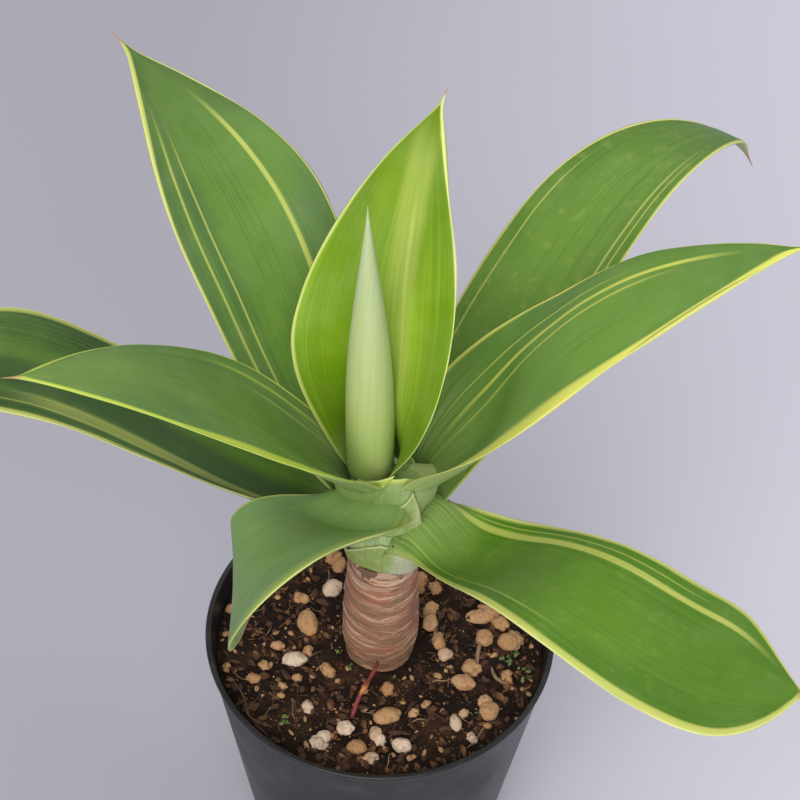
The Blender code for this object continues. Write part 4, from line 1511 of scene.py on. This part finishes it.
class AGAVE_OT_leaves(bpy.types.Operator):
    """Refine each open leaf from its CAD net, and give it its own stripes"""

    bl_idname = "agave.leaves"
    bl_label = "Leaves"

    def execute(self, context):
        leaf = context.scene.agave_leaf
        for k, name in enumerate(LEAVES):
            bm = merged_copy(name, LEAF_FIELDS)
            foot, rings, tip = leaf_rings(bm)
            length = mark_leaf(bm, foot, rings, tip)
            quads_only(bm, rings)
            bm = refined(bm, leaf.levels)
            self.wave(bm, leaf, k)
            if name in THROATS:
                self.lift(bm, *THROATS[name])
            if name == "leaf_4_front":
                self.curl_tip(bm)
            if name == "leaf_8_back":
                self.wrap(bm)
            finish = leaf_green(name, leaf, FINISHES[name], length, 3.1 * k)
            piece_name = name.replace("leaf", "open_leaf", 1)
            add_piece(piece_name, bm, finish, (name,))
        return {"FINISHED"}

    def lift(self, bm, inner, outer, margins_too, heights):
        """Raises the blade next to the leaf bases, where the leaf is still pressed against them."""
        across = bm.verts.layers.float["across"]
        side = bm.verts.layers.float["upper"]
        for v in bm.verts:
            reach = math.hypot(v.co.x, v.co.y) / MM
            if reach > outer:
                continue
            bearing = math.degrees(math.atan2(v.co.y, v.co.x))
            if bearing > 90:
                bearing -= 360
            top = v.co.z / MM + (1.0 if v[side] < 0 else 0.0)
            near = 1.0 - smooth_step((reach - inner) / (outer - inner))
            held = 1.0 if margins_too else 1.0 - abs(v[across]) ** 8
            held *= smooth_step((reach - 8.0) / 3.0)
            v.co.z += max(0.0, along_table(heights, bearing) - top) * near * held * MM

    def wrap(self, bm):
        """Draws the right half of the youngest blade's base round the spear's foot."""
        across = bm.verts.layers.float["across"]
        along = bm.verts.layers.float["along"]
        low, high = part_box("leaf_9_spear")
        centre = Vector(((low.x + high.x) / 2, (low.y + high.y) / 2, 0.0))
        for v in bm.verts:
            share = smooth_step((0.30 - v[along]) / 0.24) * smooth_step(-v[across])
            turn = Matrix.Rotation(math.radians(-30) * share, 3, "Z")
            v.co = centre + turn @ (v.co - centre)

    def curl_tip(self, bm):
        """Draws the hanging tip a little inwards and up."""
        along = bm.verts.layers.float["along"]
        for v in bm.verts:
            share = smooth_step((v[along] - 0.55) / 0.45)
            v.co += Vector((3.6, 3.4, 4.0)) * MM * share

    def wave(self, bm, leaf, k):
        """Soft waves over the blade, stronger towards the margins, and none at the foot."""
        across = bm.verts.layers.float["across"]
        along = bm.verts.layers.float["along"]
        side = bm.verts.layers.float["upper"]
        bm.normal_update()
        shifts = []
        for v in bm.verts:
            free = smooth_step((v[along] - 0.15) / 0.25) * smooth_step((1 - v[along]) / 0.1)
            by_edge = 0.35 + 0.65 * abs(v[across]) ** 2
            swell = bumpy((v[across] * 0.7, v[along] * 4.0, 0), 1.0, 5.3 * k)
            ripple = 0.25 * bumpy((v[across] * 2.2, v[along] * 11.0, 0), 1.0, 2.9 * k + 1)
            upper = v.normal if v[side] >= 0 else -v.normal
            shifts.append((v, upper * leaf.wave * 2 * free * by_edge * (swell + ripple)))
        for v, shift in shifts:
            v.co += shift


# ---------------------------------------------------------------- spear and stalk


class AGAVE_OT_spear(bpy.types.Operator):
    """Refine the rolled young leaf in the middle"""

    bl_idname = "agave.spear"
    bl_label = "Spear"

    def execute(self, context):
        bm = refined(merged_copy("leaf_9_spear"), 2)
        low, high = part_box("leaf_9_spear")
        foot = min(bm.verts, key=lambda v: v.co.z).co.copy()
        tip = max(bm.verts, key=lambda v: v.co.z).co.copy()
        for v in bm.verts:
            share = (v.co.z - foot.z) / (tip.z - foot.z)
            axis = foot.lerp(tip, share)
            fuller = 1.0 + 0.16 * math.sin(math.pi * min(1.0, max(0.0, share))) ** 1.5
            v.co.x = axis.x + (v.co.x - axis.x) * fuller
            v.co.y = axis.y + (v.co.y - axis.y) * fuller
        made, net = new_material("spear_skin", Specular_IOR_Level=0.35)
        place = net.place()
        share = net.between(net.part("Z", place), low.z, high.z)
        middle_x = (low.x + high.x) / 2 + 0.4 * MM
        middle_y = (low.y + high.y) / 2
        angle = net.bearing(net.fitted(place, shift=(-middle_x, -middle_y, 0.0)))
        lines = net.vector(
            net.maths("COSINE", angle), net.maths("SINE", angle), net.times(share, 0.5)
        )
        fine = net.noise(lines, 16.0, 3.0, 0.6)
        broad = net.noise(lines, 4.0, 2.0, 0.5)
        colour = net.over((0.44, 0.55, 0.17), (0.46, 0.54, 0.24), share, 0.0, 0.5)
        colour = net.over(colour, (0.46, 0.54, 0.30), share, 0.45, 0.95)
        colour = net.over(colour, (0.38, 0.48, 0.15), broad, 0.45, 0.7, 0.0, 0.5)
        colour = net.over(colour, (0.33, 0.44, 0.15), fine, 0.3, 0.48, 0.35, 0.0)
        net.paint(Base_Color=colour, Roughness=net.between(broad, 0.3, 0.7, 0.42, 0.55))
        net.paint(Normal=net.bump(fine, 0.3, 0.0003))
        add_piece("rolled_leaf", bm, made, ("leaf_9_spear",))
        return {"FINISHED"}


class AGAVE_OT_stalk(bpy.types.Operator):
    """Draw the thin red stalk with its swollen joint"""

    bl_idname = "agave.stalk"
    bl_label = "Stalk"

    def execute(self, context):
        low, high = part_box("red_stalk")
        radius = 0.68 * MM
        top = Vector((high.x - radius, high.y - radius, high.z - radius))
        foot = Vector((low.x + radius, low.y + radius, low.z + radius))
        count = 26
        points, radii = [], []
        for k in range(count):
            t = k / (count - 1)
            bow = Vector((0.0, 0.0, 1.1 * MM * math.sin(math.pi * t)))
            bow.x = 0.25 * MM * math.sin(2.2 * math.pi * t)
            points.append(top.lerp(foot, t) + bow)
            joint = 0.28 * math.exp(-(((t - 0.47) / 0.05) ** 2))
            radii.append(radius * (0.72 + 0.22 * t + joint) * min(1.0, 0.55 + 6 * (1 - t)))
        bm = bmesh.new()
        tube(bm, points, radii, 14)
        outward(bm)
        made, net = new_material("red_stalk", Specular_IOR_Level=0.4)
        place = net.place()
        cloud = net.noise(place, 700.0, 3.0)
        colour = net.over((0.12, 0.014, 0.012), (0.23, 0.032, 0.026), cloud, 0.35, 0.65)
        z = net.part("Z", place)
        joint_z = points[count // 2 - 1].z
        off_joint = net.maths("ABSOLUTE", net.minus(z, joint_z))
        colour = net.over(colour, (0.55, 0.20, 0.05), off_joint, 0.2 * MM, 0.9 * MM, 0.8, 0.0)
        net.paint(Base_Color=colour, Roughness=net.between(cloud, 0.3, 0.7, 0.45, 0.65))
        net.paint(Normal=net.bump(cloud, 0.4, 0.0002))
        add_piece("stalk", bm, made, ("red_stalk",))
        return {"FINISHED"}


# ---------------------------------------------------------------- stage


class AGAVE_OT_stage(bpy.types.Operator):
    """Lay the floor, and set up the soft light and the camera"""

    bl_idname = "agave.stage"
    bl_label = "Stage"

    def execute(self, context):
        stage = context.scene.agave_stage
        self.lay_floor(stage)
        self.light(context)
        self.place_camera(context, stage)
        context.scene.view_settings.view_transform = "Standard"
        return {"FINISHED"}

    def lay_floor(self, stage):
        bm = bmesh.new()
        bmesh.ops.create_grid(bm, x_segments=1, y_segments=1, size=FLOOR_HALF)
        mesh = mesh_of("floor", bm)
        made, net = new_material("floor_card", Roughness=0.9, Specular_IOR_Level=0.2)
        place = net.place()
        cloud = net.noise(place, 6.0, 2.0)
        # painted light: a drift from left to right that brightens the floor's colour
        painted_light_drift = net.plus(net.part("X", place), net.times(cloud, 0.03))
        painted_lit_floor = shade(stage.floor, 1.58)  # painted light: the floor is painted lighter on the right, as if more light falls on that side
        colour = net.over(stage.floor, painted_lit_floor, painted_light_drift, -0.11, 0.20)
        net.paint(Base_Color=colour)
        mesh.materials.append(made)
        linked("floor", mesh)

    def light(self, context):
        world = bpy.data.worlds.new("studio")
        context.scene.world = world
        world.use_nodes = True
        sky = world.node_tree.nodes["Background"]
        sky.inputs["Color"].default_value = SKY
        sky.inputs["Strength"].default_value = SKY_STRENGTH
        for name, spot, size, power in (
            ("key", (-0.20, -1.00, 0.95), 1.1, 17.0),
            ("top", (0.10, 0.30, 1.40), 0.9, 5.0),
        ):
            lamp = bpy.data.lights.new(name, "AREA")
            lamp.shape = "SQUARE"
            lamp.size = size
            lamp.energy = power
            lamp.color = LAMP_COLOUR
            holder = linked(name, lamp)
            holder.location = spot
            aim = Vector(AIM) - Vector(spot)
            holder.rotation_euler = aim.to_track_quat("-Z", "Y").to_euler()

    def place_camera(self, context, stage):
        """Stands in front of the plant, above it, and looks down at the leaves."""
        tall = CAD_BOX[1].z
        camera = bpy.data.cameras.new("camera")
        camera.lens = stage.focal
        camera.sensor_width = SENSOR
        holder = linked("camera", camera)
        ahead = Vector((0.0, math.cos(stage.elevation), -math.sin(stage.elevation)))
        level = Vector((1.0, 0.0, 0.0))
        above = level.cross(ahead)
        right = level * math.cos(stage.roll) + above * math.sin(stage.roll)
        up = above * math.cos(stage.roll) - level * math.sin(stage.roll)
        spot = Vector((2.6 * MM, -STAND_BACK * tall, STAND_UP * tall))
        holder.matrix_world = Matrix.Translation(spot) @ Matrix(
            (right, up, -ahead)
        ).transposed().to_4x4()
        context.scene.camera = holder


# ---------------------------------------------------------------- add-on


class AGAVE_PT_panel(bpy.types.Panel):
    """Lists the steps that build the plant"""

    bl_idname = "AGAVE_PT_panel"
    bl_label = "Potted Agave"
    bl_space_type = "VIEW_3D"
    bl_region_type = "UI"
    bl_category = "Agave"

    def draw(self, context):
        scene = context.scene
        for name, steps in STEPS:
            box = self.layout.box()
            for step in steps:
                box.operator(step.bl_idname)
            settings = getattr(scene, name)
            for field in settings.__annotations__:
                box.prop(settings, field)


STEPS = (
    ("agave_pot", (AGAVE_OT_pot,)),
    ("agave_soil", (AGAVE_OT_soil, AGAVE_OT_litter)),
    ("agave_stones", (AGAVE_OT_stones,)),
    ("agave_stem", (AGAVE_OT_stem,)),
    ("agave_leaf", (AGAVE_OT_leaves, AGAVE_OT_spear, AGAVE_OT_stalk)),
    ("agave_stage", (AGAVE_OT_stage,)),
)
SETTINGS = {
    "agave_pot": AgavePotSettings,
    "agave_soil": AgaveSoilSettings,
    "agave_stones": AgaveStoneSettings,
    "agave_stem": AgaveStemSettings,
    "agave_leaf": AgaveLeafSettings,
    "agave_stage": AgaveStageSettings,
}
CLASSES = (*SETTINGS.values(), *(step for _, steps in STEPS for step in steps), AGAVE_PT_panel)


def register():
    for each in CLASSES:
        bpy.utils.register_class(each)
    for name, settings in SETTINGS.items():
        setattr(bpy.types.Scene, name, bpy.props.PointerProperty(type=settings))


def unregister():
    for name in SETTINGS:
        delattr(bpy.types.Scene, name)
    for each in reversed(CLASSES):
        bpy.utils.unregister_class(each)


def main():
    register()
    build_groups()
    bpy.ops.agave.pot()
    bpy.ops.agave.soil()
    bpy.ops.agave.litter()
    bpy.ops.agave.stones()
    bpy.ops.agave.stem()
    bpy.ops.agave.leaves()
    bpy.ops.agave.spear()
    bpy.ops.agave.stalk()
    bpy.ops.agave.stage()


if __name__ == "__main__":
    main()
